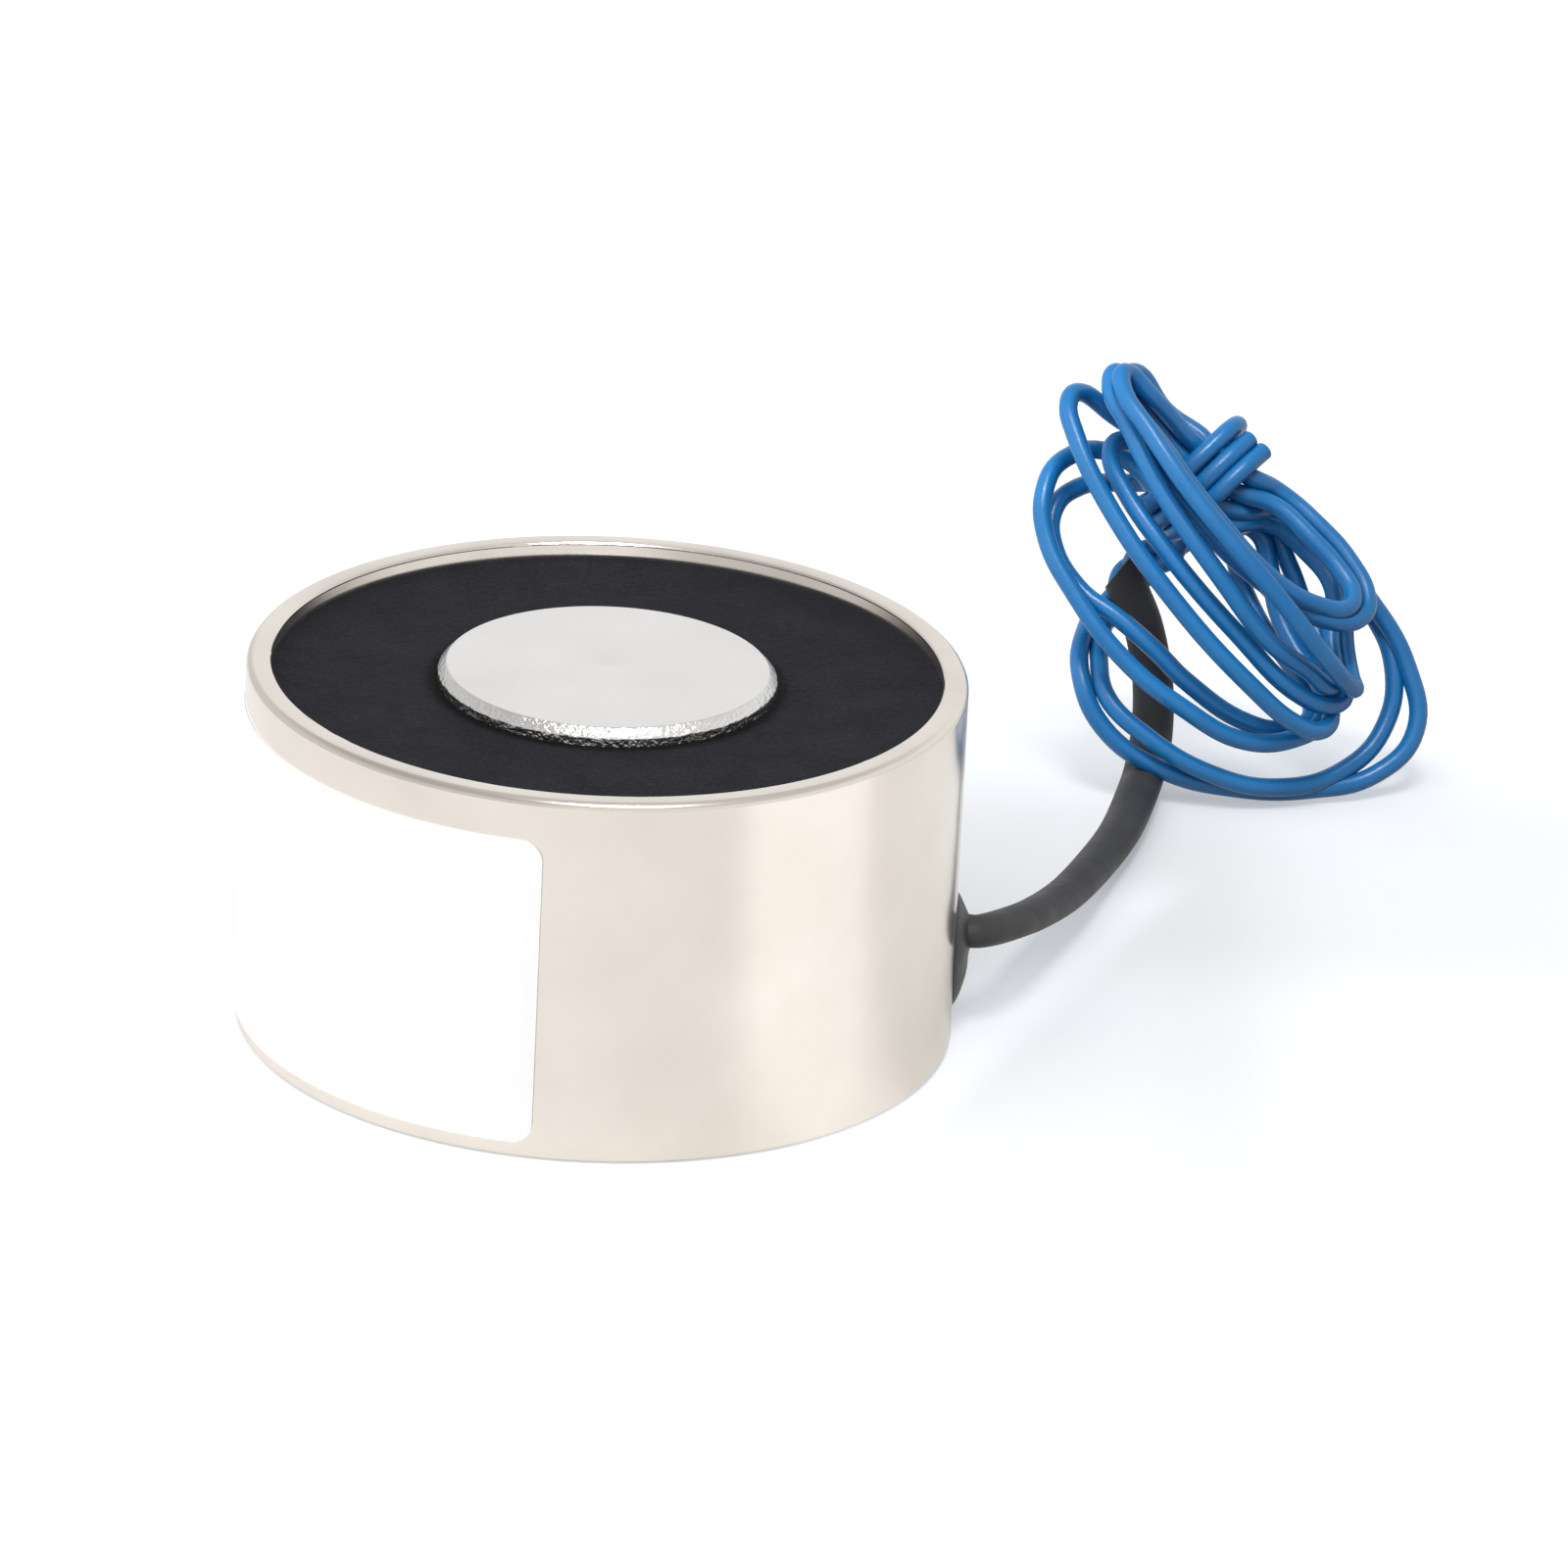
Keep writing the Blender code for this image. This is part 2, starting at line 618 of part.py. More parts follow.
def lead_coil():
    """The outer shape of the tied skein: three bunches of turns joined at their tie."""
    bunches = []
    for name, (top, front, end, radius) in SKEIN_BUNCHES.items():
        places = [Vector(p) for p in (top, front, end)]
        angles = [tau * i / SKEIN_POINTS for i in range(SKEIN_POINTS)]
        points = [turn_point(*places, angle) for angle in angles]
        radii = [radius * (SKEIN_TIP_SHARE + (1 - SKEIN_TIP_SHARE) * cos(angle) ** 2) for angle in angles]
        for point, own in zip(points, radii):
            point.z = max(point.z, own)
        bunches.append(as_mesh(tube_curve(f"skein_{name}", points, radii, blue_pvc(), closed=True)))
    turn = Vector(SKEIN_TIE_AXIS).to_track_quat("Z", "Y").to_matrix().to_4x4()
    half_axes = (SKEIN_TIE_RADIUS, SKEIN_TIE_RADIUS, SKEIN_TIE_LENGTH / 2)
    coil = ball("lead_coil", SKEIN_TIE, turn, half_axes, blue_pvc())
    for bunch in bunches:
        boolean(coil, bunch, "UNION", self_crossing=True)


clear_scene()
housing_cup()
pole_core()
coil_bobbin()
coil_winding()
winding_tape()
potting_compound()
exit_bead()
lead_end(1, "a")
lead_end(-1, "b")
rating_label()
lead_sleeve()
blue_pair()
lead_coil()
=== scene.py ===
# Holding electromagnet: the finish of its turned pot, pole, potting and label, and its free
# two-wire lead, which ends in a small tied skein. Metres, +Z up, in the frame of the solids.

from math import cos, exp, pi, radians, sin, sqrt, tan, tau

import bmesh
import bpy
from mathutils import Matrix, Vector


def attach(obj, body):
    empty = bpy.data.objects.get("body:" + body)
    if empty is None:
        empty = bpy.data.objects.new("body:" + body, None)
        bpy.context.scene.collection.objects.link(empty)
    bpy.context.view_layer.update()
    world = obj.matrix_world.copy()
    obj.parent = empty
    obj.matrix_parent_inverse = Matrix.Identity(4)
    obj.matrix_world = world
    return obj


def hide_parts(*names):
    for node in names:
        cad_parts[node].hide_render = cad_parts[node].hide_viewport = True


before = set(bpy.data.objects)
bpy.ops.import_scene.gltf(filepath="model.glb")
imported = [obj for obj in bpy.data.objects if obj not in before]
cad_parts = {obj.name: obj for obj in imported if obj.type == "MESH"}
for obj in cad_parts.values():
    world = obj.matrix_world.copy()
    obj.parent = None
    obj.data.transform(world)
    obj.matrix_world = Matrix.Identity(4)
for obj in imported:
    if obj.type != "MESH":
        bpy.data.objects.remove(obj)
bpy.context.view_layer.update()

# Camera
# A long lens stands 0.64 m in front of the magnet and looks down on it. It is aimed a little
# to the right, where the lead lies, and leans slightly to one side.
CAMERA_PLACE = Vector((0.0, -0.58825, 0.25560))
CAMERA_YAW = 0.0145
CAMERA_PITCH = 0.392
CAMERA_ROLL = 0.0483
FOCAL_PIXELS = 13777.6
PHOTO_SIDE = 1600
SENSOR_WIDTH = 36.0

forward = Vector((
    sin(CAMERA_YAW) * cos(CAMERA_PITCH),
    cos(CAMERA_YAW) * cos(CAMERA_PITCH),
    -sin(CAMERA_PITCH),
))
level = Vector((cos(CAMERA_YAW), -sin(CAMERA_YAW), 0.0))
upright = level.cross(forward)
camera_right = level * cos(CAMERA_ROLL) + upright * sin(CAMERA_ROLL)
camera_up = upright * cos(CAMERA_ROLL) - level * sin(CAMERA_ROLL)
turn = Matrix((camera_right, camera_up, -forward)).transposed().to_4x4()
bpy.ops.object.camera_add()
camera = bpy.context.object
camera.matrix_world = Matrix.Translation(CAMERA_PLACE) @ turn
camera.data.sensor_width = SENSOR_WIDTH
camera.data.lens = FOCAL_PIXELS * SENSOR_WIDTH / PHOTO_SIDE
camera.data.clip_start = 0.01
camera.data.clip_end = 20.0
bpy.context.scene.camera = camera
bpy.context.scene.view_settings.view_transform = "Standard"


# Floor and light
# A matt white sheet under a light tent, with one large soft lamp in front on the left and a
# smaller one above. The sheet glows unevenly, so that its shadows stay pale. Each glow is a
# span in metres, with its levels at the two ends.
FLOOR_SIDE = 8.0
FLOOR_PLACE = (0.0, 0.0, -0.00002)
FLOOR_COLOUR = (0.42, 0.418, 0.416)
FLOOR_BOUNCE = 0.667
WHITE = (1.0, 1.0, 1.0, 1.0)
BLACK = (0.0, 0.0, 0.0, 1.0)
GLOW_COLOUR = (0.945, 1.0, 1.07, 1.0)
GLOWS = (
    ("Y", (0.003, 0.014), (0.40, 0.29)),
    ("Y", (0.024, 0.044), (0.0, 0.26)),
    ("X", (-0.022, -0.012), (0.12, 0.0)),
    ("X", (0.026, 0.038), (0.0, 0.14)),
    ("X", (0.025, 0.031), (0.075, 0.0)),
)
SLEEVE_LINE = (0.919, -0.394, -0.01687)
GLOW_SLEEVE = ((0.0006, 0.0032), (0.13, 0.0))
GLOW_SLEEVE_END = ((0.016, 0.022), (1.0, 0.0))
FLOOR_SHINE = 0.43
SHINE_FRONT = ((-0.0120, -0.0010), (0.0, 0.25))
SHINE_FADE = ((-0.0125, -0.005), (1.0, 0.0))
TENT_FILL = 0.22
TENT_STOPS = ((0.45, (0.98, 0.985, 0.99, 1.0)), (0.75, (0.68, 0.68, 0.68, 1.0)))
TENT_DUSK = ((-0.40, -0.08), (0.76, 1.0))
LAMP_AIM = Vector((0.01, 0.01, 0.0))
LAMPS = (
    ("left_lamp", (-0.46, -0.27, 0.46), 1.35, 11.2, False),
    ("top_lamp", (0.05, -0.25, 0.75), 0.24, 3.0, True),
)


def join(tree, source, target):
    tree.links.new(source, target)


def maths(tree, operation, *values):
    """One Math node, fed by numbers and sockets."""
    node = tree.nodes.new("ShaderNodeMath")
    node.operation = operation
    for index, value in enumerate(values):
        if isinstance(value, (int, float)):
            node.inputs[index].default_value = value
        else:
            join(tree, value, node.inputs[index])
    return node.outputs[0]


def ramp(tree, value, span, levels, form="SMOOTHSTEP"):
    """A rise or fall from one level to another over a span of a value."""
    node = tree.nodes.new("ShaderNodeMapRange")
    node.interpolation_type = form
    for name, number in zip(("From Min", "From Max", "To Min", "To Max"), span + levels):
        node.inputs[name].default_value = number
    join(tree, value, node.inputs["Value"])
    return node.outputs["Result"]


def mix(tree, factor, first, second, kind="RGBA"):
    """A mix of two colours or of two numbers, each of them a value or a socket."""
    node = tree.nodes.new("ShaderNodeMix")
    node.data_type = kind
    for name, value in (("Factor", factor), ("A", first), ("B", second)):
        if isinstance(value, tuple):
            node.inputs[name].default_value = value
        else:
            join(tree, value, node.inputs[name])
    return node.outputs["Result"]


def mix_shaders(tree, factor, first, second):
    node = tree.nodes.new("ShaderNodeMixShader")
    for source, target in zip((factor, first.outputs[0], second.outputs[0]), node.inputs):
        join(tree, source, target)
    return node.outputs[0]


def coordinates(tree, kind="Object"):
    """The X, Y and Z of a place on a piece, or of a direction in the tent."""
    place = tree.nodes.new("ShaderNodeSeparateXYZ")
    join(tree, tree.nodes.new("ShaderNodeTexCoord").outputs[kind], place.inputs[0])
    return place.outputs


def seen_rays(tree):
    """A mask that is 1 where the camera, a gloss or a clear piece looks at a surface."""
    path = tree.nodes.new("ShaderNodeLightPath").outputs
    straight = maths(tree, "MAXIMUM", path["Is Camera Ray"], path["Is Transmission Ray"])
    return maths(tree, "MAXIMUM", straight, path["Is Glossy Ray"])


def fresh_material(name):
    look = bpy.data.materials.new(name)
    look.use_nodes = True
    return look, look.node_tree, look.node_tree.nodes["Principled BSDF"]


bpy.ops.object.select_all(action="DESELECT")
bpy.ops.mesh.primitive_plane_add(size=FLOOR_SIDE, location=FLOOR_PLACE)
bpy.ops.object.transform_apply(location=True, rotation=True, scale=True)
floor = bpy.context.object
floor.name = "floor"
look, tree, shader = fresh_material("white_sheet")
shader.inputs["Roughness"].default_value = 1.0
shader.inputs["Specular IOR Level"].default_value = 0.0
rays = tree.nodes.new("ShaderNodeLightPath").outputs
bounced = (*(part * FLOOR_BOUNCE for part in FLOOR_COLOUR), 1.0)
sheet = mix(tree, rays["Is Diffuse Ray"], (*FLOOR_COLOUR, 1.0), bounced)
join(tree, sheet, shader.inputs["Base Color"])
place = coordinates(tree)
x, y = place["X"], place["Y"]
aside, along, start = SLEEVE_LINE
from_sleeve = maths(tree, "MULTIPLY_ADD", x, aside, maths(tree, "MULTIPLY_ADD", y, along, start))
by_sleeve = ramp(tree, maths(tree, "ABSOLUTE", from_sleeve), *GLOW_SLEEVE)
seen_glow = maths(tree, "MULTIPLY", by_sleeve, ramp(tree, y, *GLOW_SLEEVE_END))
for axis, span, levels in GLOWS:
    seen_glow = maths(tree, "ADD", seen_glow, ramp(tree, place[axis], span, levels))
ahead = ramp(tree, maths(tree, "ADD", x, y), *SHINE_FRONT)
in_front = maths(tree, "MULTIPLY", ahead, ramp(tree, y, *SHINE_FADE))
shine = maths(tree, "ADD", in_front, FLOOR_SHINE)
strength = mix(tree, rays["Is Glossy Ray"], seen_glow, shine, "FLOAT")
glow = tree.nodes.new("ShaderNodeEmission")
join(tree, mix(tree, rays["Is Glossy Ray"], GLOW_COLOUR, WHITE), glow.inputs["Color"])
join(tree, maths(tree, "MULTIPLY", seen_rays(tree), strength), glow.inputs["Strength"])
both = tree.nodes.new("ShaderNodeAddShader")
join(tree, shader.outputs[0], both.inputs[0])
join(tree, glow.outputs[0], both.inputs[1])
from_below = tree.nodes.new("ShaderNodeNewGeometry").outputs["Backfacing"]
clear = tree.nodes.new("ShaderNodeBsdfTransparent")
surface = mix_shaders(tree, from_below, both, clear)
join(tree, surface, tree.nodes["Material Output"].inputs["Surface"])
floor.data.materials.append(look)

world = bpy.data.worlds.new("light_tent")
world.use_nodes = True
bpy.context.scene.world = world
tree = world.node_tree
fill = tree.nodes["Background"]
fill.inputs["Color"].default_value = WHITE
fill.inputs["Strength"].default_value = TENT_FILL
place = coordinates(tree, "Generated")
tent = tree.nodes.new("ShaderNodeValToRGB")
for stop, (height, colour) in zip(tent.color_ramp.elements, TENT_STOPS):
    stop.position = height
    stop.color = colour
join(tree, place["Z"], tent.inputs[0])
in_metal = mix(tree, ramp(tree, place["X"], *TENT_DUSK), BLACK, tent.outputs[0])
rays = tree.nodes.new("ShaderNodeLightPath").outputs
seen = tree.nodes.new("ShaderNodeBackground")
join(tree, mix(tree, rays["Is Glossy Ray"], WHITE, in_metal), seen.inputs["Color"])
surface = mix_shaders(tree, seen_rays(tree), fill, seen)
join(tree, surface, tree.nodes["World Output"].inputs["Surface"])

for name, spot, side, power, mirrored in LAMPS:
    facing = (LAMP_AIM - Vector(spot)).to_track_quat("-Z", "Y").to_euler()
    bpy.ops.object.light_add(type="AREA", location=spot, rotation=facing)
    lamp = bpy.context.object
    lamp.name = name
    lamp.data.shape = "DISK"
    lamp.data.size = side
    lamp.data.energy = power
    lamp.visible_glossy = mirrored


# Pot
# One steel cup turned from bar, 34 mm across with a 1.2 mm wall, its rim rounded by a form
# tool. It is nickel plated, and the fine marks of the lathe run round it under the plating.
HOUSING_RADIUS = 0.017
HOUSING_HEIGHT = 0.018
HOUSING_WALL = 0.0012
HOUSING_FLOOR = 0.003
RIM_ROUND = 0.0004
RIM_INNER_BREAK = 0.00015
BACK_EDGE_BREAK = 0.00025
FLOOR_FILLET = 0.0004
SPIGOT_RADIUS = 0.004
SPIGOT_GAP = 0.0002
SWAGE_FLARE = 0.0004
EXIT_AZIMUTH = radians(4)
EXIT_HEIGHT = 0.0048
EXIT_HOLE_DIAMETER = 0.003
TURNED_STEPS = 256
NEAR = 2e-6
WELD = 1e-6
NICKEL_LIGHT = (0.84, 0.785, 0.72)
NICKEL_DARK = (0.69, 0.635, 0.57)
NOISE_SPAN = (0.3, 0.7)
PLATE_GRAIN = 0.6
WORN_EDGE = 130.0
MOUTH_TILT = ((0.01720, 0.01750), (0.0, 0.30))


def pick(piece, kind, test):
    """Selects, in edit mode, only the vertices, edges or faces whose middle passes the test."""
    bpy.ops.mesh.select_mode(type=kind)
    bpy.ops.mesh.select_all(action="DESELECT")
    shape = bmesh.from_edit_mesh(piece.data)
    items = {"VERT": shape.verts, "EDGE": shape.edges, "FACE": shape.faces}[kind]
    for item in items:
        corners = [item] if kind == "VERT" else item.verts
        middle = sum((corner.co for corner in corners), Vector()) / len(corners)
        if test(middle):
            item.select_set(True)
    shape.select_flush_mode()
    bmesh.update_edit_mesh(piece.data)


def at(x, z):
    """A test for the vertex of a flat section that lies at x and z."""
    return lambda middle: abs(middle.x - x) < NEAR and abs(middle.z - z) < NEAR


def section_plane(left, right, bottom, top):
    """A flat upright rectangle in the plane of X and Z, in edit mode, ready to be cut to a section."""
    bpy.ops.object.select_all(action="DESELECT")
    middle = ((left + right) / 2, 0.0, (bottom + top) / 2)
    bpy.ops.mesh.primitive_plane_add(size=1.0, location=middle, rotation=(pi / 2, 0.0, 0.0))
    piece = bpy.context.object
    piece.scale = (right - left, top - bottom, 1.0)
    bpy.ops.object.transform_apply(location=True, rotation=True, scale=True)
    bpy.ops.object.mode_set(mode="EDIT")
    return piece


def cut(x=None, z=None):
    """Cuts the whole section along a line at x or at z."""
    bpy.ops.mesh.select_all(action="SELECT")
    if x is not None:
        bpy.ops.mesh.bisect(plane_co=(x, 0.0, 0.0), plane_no=(1.0, 0.0, 0.0))
    else:
        bpy.ops.mesh.bisect(plane_co=(0.0, 0.0, z), plane_no=(0.0, 0.0, 1.0))


def stretch(piece, test, move):
    """Extrudes the picked edges of a section by a move."""
    pick(piece, "EDGE", test)
    bpy.ops.mesh.extrude_edges_move(TRANSFORM_OT_translate={"value": move})


def round_corner(piece, x, z, radius, steps):
    """Rounds one corner of a section, or chamfers it with one step."""
    pick(piece, "VERT", at(x, z))
    bpy.ops.mesh.bevel(offset=radius, segments=steps, profile=0.5, affect="VERTICES")


def one_face(piece):
    bpy.ops.mesh.select_mode(type="FACE")
    bpy.ops.mesh.select_all(action="SELECT")
    bpy.ops.mesh.dissolve_faces()


def turn_section(piece):
    """Spins a section about Z into a closed turned piece."""
    pick(piece, "EDGE", lambda middle: abs(middle.x) < NEAR)
    bpy.ops.mesh.delete(type="EDGE")
    bpy.ops.mesh.select_mode(type="FACE")
    bpy.ops.mesh.select_all(action="SELECT")
    bpy.ops.mesh.delete(type="ONLY_FACE")
    bpy.ops.mesh.select_mode(type="EDGE")
    bpy.ops.mesh.select_all(action="SELECT")
    bpy.ops.mesh.spin(steps=TURNED_STEPS, angle=tau, center=(0.0, 0.0, 0.0), axis=(0.0, 0.0, 1.0))
    bpy.ops.mesh.select_all(action="SELECT")
    bpy.ops.mesh.remove_doubles(threshold=WELD)
    bpy.ops.mesh.normals_make_consistent(inside=False)
    bpy.ops.object.mode_set(mode="OBJECT")


def select_only(piece):
    bpy.ops.object.select_all(action="DESELECT")
    bpy.context.view_layer.objects.active = piece
    piece.select_set(True)


def use_modifier(piece, kind, **values):
    """Adds one modifier with its values and applies it."""
    select_only(piece)
    change = piece.modifiers.new(kind.lower(), kind)
    for name, value in values.items():
        setattr(change, name, value)
    bpy.ops.object.modifier_apply(modifier=change.name)


def shade(piece, angle):
    """Shades a piece smooth, apart from edges sharper than an angle, with flat faces kept flat."""
    select_only(piece)
    bpy.ops.object.shade_smooth_by_angle(angle=radians(angle))
    use_modifier(piece, "WEIGHTED_NORMAL", keep_sharp=True)


def radial_rod(radius, start, end, vertices=48):
    """A round rod along the line of the lead's exit, used to drill or to plug the wall."""
    bpy.ops.object.select_all(action="DESELECT")
    out = Vector((cos(EXIT_AZIMUTH), sin(EXIT_AZIMUTH), 0.0))
    bpy.ops.mesh.primitive_cylinder_add(
        vertices=vertices,
        radius=radius,
        depth=end - start,
        location=out * (start + end) / 2 + Vector((0.0, 0.0, EXIT_HEIGHT)),
        rotation=(0.0, pi / 2, EXIT_AZIMUTH),
    )
    bpy.ops.object.transform_apply(location=True, rotation=True, scale=True)
    return bpy.context.object


def combine(piece, other, operation):
    """Cuts another shape away from a piece, or joins it on, and removes the other shape."""
    use_modifier(piece, "BOOLEAN", object=other, operation=operation, solver="EXACT")
    bpy.data.objects.remove(other, do_unlink=True)


def new_group(name, ins, outs):
    """An empty shader group with its named sockets, and its two end nodes."""
    group = bpy.data.node_groups.new(name, "ShaderNodeTree")
    for label, kind, value in ins:
        socket = group.interface.new_socket(name=label, in_out="INPUT", socket_type=kind)
        socket.default_value = value
    for label, kind in outs:
        group.interface.new_socket(name=label, in_out="OUTPUT", socket_type=kind)
    return group, group.nodes.new("NodeGroupInput"), group.nodes.new("NodeGroupOutput")


def blotches():
    """Shader group: two colours in soft blotches, with the mask and a finer grain beside it."""
    group, start, end = new_group(
        "blotches",
        (
            ("Light", "NodeSocketColor", (1.0, 1.0, 1.0, 1.0)),
            ("Dark", "NodeSocketColor", (0.0, 0.0, 0.0, 1.0)),
            ("Blotch Scale", "NodeSocketFloat", 100.0),
            ("Grain Scale", "NodeSocketFloat", 1000.0),
        ),
        (("Color", "NodeSocketColor"), ("Mask", "NodeSocketFloat"), ("Grain", "NodeSocketFloat")),
    )
    place = group.nodes.new("ShaderNodeTexCoord").outputs["Object"]
    broad = group.nodes.new("ShaderNodeTexNoise")
    broad.inputs["Detail"].default_value = 4.0
    fine = group.nodes.new("ShaderNodeTexNoise")
    fine.inputs["Detail"].default_value = 3.0
    for noise, scale in ((broad, "Blotch Scale"), (fine, "Grain Scale")):
        join(group, place, noise.inputs["Vector"])
        join(group, start.outputs[scale], noise.inputs["Scale"])
    colour = mix(group, broad.outputs["Fac"], start.outputs["Light"], start.outputs["Dark"])
    join(group, colour, end.inputs["Color"])
    join(group, broad.outputs["Fac"], end.inputs["Mask"])
    join(group, fine.outputs["Fac"], end.inputs["Grain"])
    return group


def lathe_marks():
    """Shader group: fine rings that follow the radius on a face and the height on a wall."""
    group, start, end = new_group(
        "lathe_marks",
        (("Rings per metre", "NodeSocketFloat", 9000.0),),
        (("Height", "NodeSocketFloat"), ("Radius", "NodeSocketFloat")),
    )
    x, y, z = coordinates(group)
    squares = (maths(group, "MULTIPLY", x, x), maths(group, "MULTIPLY", y, y))
    radius = maths(group, "SQRT", maths(group, "ADD", *squares))
    along = maths(group, "ADD", radius, z)
    across = maths(group, "MULTIPLY", along, start.outputs["Rings per metre"])
    rings = group.nodes.new("ShaderNodeTexNoise")
    rings.noise_dimensions = "1D"
    rings.inputs["Scale"].default_value = 1.0
    rings.inputs["Detail"].default_value = 2.0
    join(group, across, rings.inputs["W"])
    join(group, rings.outputs["Fac"], end.inputs["Height"])
    join(group, radius, end.inputs["Radius"])
    return group


BLOTCHES = blotches()
LATHE_MARKS = lathe_marks()


def add_group(tree, group, **values):
    """Places a shader group in a material with this material's own values."""
    node = tree.nodes.new("ShaderNodeGroup")
    node.node_tree = group
    for name, value in values.items():
        node.inputs[name.replace("_", " ")].default_value = value
    return node


def add_bump(tree, shader, height, depth):
    bump = tree.nodes.new("ShaderNodeBump")
    bump.inputs["Strength"].default_value = 1.0
    bump.inputs["Distance"].default_value = depth
    join(tree, height, bump.inputs["Height"])
    join(tree, bump.outputs["Normal"], shader.inputs["Normal"])


def add_range(tree, mask, low, high, target):
    """Spreads a noise mask over a range and feeds it to a socket."""
    join(tree, ramp(tree, mask, NOISE_SPAN, (low, high), "LINEAR"), target)


def tilt_mouth(tree, shader, radius, wall):
    """Tilts the shading upwards just under the rim, inside the mouth of the pot only."""
    inside = maths(tree, "LESS_THAN", radius, wall)
    rise = ramp(tree, coordinates(tree)["Z"], *MOUTH_TILT)
    tilt = tree.nodes.new("ShaderNodeCombineXYZ")
    join(tree, maths(tree, "MULTIPLY", inside, rise), tilt.inputs["Z"])
    tilted = tree.nodes.new("ShaderNodeVectorMath")
    tilted.operation = "ADD"
    join(tree, shader.inputs["Normal"].links[0].from_socket, tilted.inputs[0])
    join(tree, tilt.outputs[0], tilted.inputs[1])
    even = tree.nodes.new("ShaderNodeVectorMath")
    even.operation = "NORMALIZE"
    join(tree, tilted.outputs[0], even.inputs[0])
    join(tree, even.outputs[0], shader.inputs["Normal"])


def nickel_plate(
    name, rings, depth, rough, light=NICKEL_LIGHT, dark=NICKEL_DARK, worn_beyond=1.0, mouth=None
):
    """Nickel over turned steel: warm, a little cloudy, with the lathe's rings under the plating."""
    look, tree, shader = fresh_material(name)
    shader.inputs["Metallic"].default_value = 1.0
    tint = add_group(
        tree,
        BLOTCHES,
        Light=(*light, 1.0),
        Dark=(*dark, 1.0),
        Blotch_Scale=160.0,
        Grain_Scale=4000.0,
    )
    join(tree, tint.outputs["Color"], shader.inputs["Base Color"])
    add_range(tree, tint.outputs["Mask"], *rough, shader.inputs["Roughness"])
    marks = add_group(tree, LATHE_MARKS, Rings_per_metre=rings)
    on_edge = maths(tree, "GREATER_THAN", marks.outputs["Radius"], worn_beyond)
    coarseness = maths(tree, "MULTIPLY_ADD", on_edge, WORN_EDGE, PLATE_GRAIN)
    grain = maths(tree, "MULTIPLY", tint.outputs["Grain"], coarseness)
    add_bump(tree, shader, maths(tree, "ADD", marks.outputs["Height"], grain), depth)
    if mouth:
        tilt_mouth(tree, shader, marks.outputs["Radius"], mouth)
    return look


def dress(piece, look):
    """Gives a piece one finish in place of what it had."""
    piece.data.materials.clear()
    piece.data.materials.append(look)


inner_wall = HOUSING_RADIUS - HOUSING_WALL
spigot_hole = SPIGOT_RADIUS + SPIGOT_GAP
pot = section_plane(inner_wall, HOUSING_RADIUS, 0.0, HOUSING_HEIGHT)
cut(z=HOUSING_FLOOR)
stretch(
    pot,
    lambda middle: abs(middle.x - inner_wall) < NEAR and middle.z < HOUSING_FLOOR,
    (spigot_hole - inner_wall, 0.0, 0.0),
)
one_face(pot)
round_corner(pot, HOUSING_RADIUS, HOUSING_HEIGHT, RIM_ROUND, 8)
round_corner(pot, inner_wall, HOUSING_HEIGHT, RIM_INNER_BREAK, 3)
round_corner(pot, HOUSING_RADIUS, 0.0, BACK_EDGE_BREAK, 4)
round_corner(pot, inner_wall, HOUSING_FLOOR, FLOOR_FILLET, 4)
round_corner(pot, spigot_hole, 0.0, SWAGE_FLARE, 1)
turn_section(pot)
drill = radial_rod(EXIT_HOLE_DIAMETER / 2, inner_wall - HOUSING_WALL, HOUSING_RADIUS + HOUSING_WALL)
combine(pot, drill, "DIFFERENCE")
shade(pot, 30)
pot.name = "pot"
mouth = inner_wall + NEAR
dress(pot, nickel_plate("pot_nickel", rings=11000.0, depth=1.2e-6, rough=(0.16, 0.25), mouth=mouth))
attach(pot, "root")
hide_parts("housing_cup")


# Pole
# A solid steel pole with a bevelled face, level with the rim, and a fixing hole drilled into it
# from behind. Its spigot is swaged into the floor of the pot.
POLE_RADIUS = 0.008
POLE_EDGE_BREAK = 0.0004
POLE_EDGE_SOFT = 0.00006
SHOULDER = HOUSING_FLOOR + SPIGOT_GAP
THREAD_RADIUS = 0.002
THREAD_DEPTH = 0.008
THREAD_LEAD_IN = 0.0003
DRILL_HALF_ANGLE = radians(59)
DRILL_POINT = THREAD_RADIUS / tan(DRILL_HALF_ANGLE)
CENTRE_DIMPLE = 0.00022
DIMPLE_DEPTH = 0.00003
POLE_LIGHT = (0.82, 0.810, 0.785)
POLE_DARK = (0.76, 0.750, 0.725)

pole = section_plane(0.0, POLE_RADIUS, SHOULDER, HOUSING_HEIGHT)
cut(x=SPIGOT_RADIUS)
for start, end in ((SHOULDER, SWAGE_FLARE), (SWAGE_FLARE, 0.0)):
    stretch(
        pole,
        lambda middle: abs(middle.z - start) < NEAR and middle.x < SPIGOT_RADIUS,
        (0.0, 0.0, end - start),
    )
pick(pole, "VERT", at(SPIGOT_RADIUS, 0.0))
bpy.ops.transform.translate(value=(SWAGE_FLARE, 0.0, 0.0))
cut(x=THREAD_RADIUS)
cut(z=THREAD_DEPTH)
pick(pole, "FACE", lambda middle: middle.x < THREAD_RADIUS and middle.z < THREAD_DEPTH)
bpy.ops.mesh.delete(type="FACE")
pick(pole, "VERT", at(0.0, THREAD_DEPTH))
bpy.ops.transform.translate(value=(0.0, 0.0, DRILL_POINT))
cut(x=CENTRE_DIMPLE)
pick(pole, "VERT", at(0.0, HOUSING_HEIGHT))
bpy.ops.transform.translate(value=(0.0, 0.0, -DIMPLE_DEPTH))
one_face(pole)
round_corner(pole, POLE_RADIUS, HOUSING_HEIGHT, POLE_EDGE_BREAK, 1)
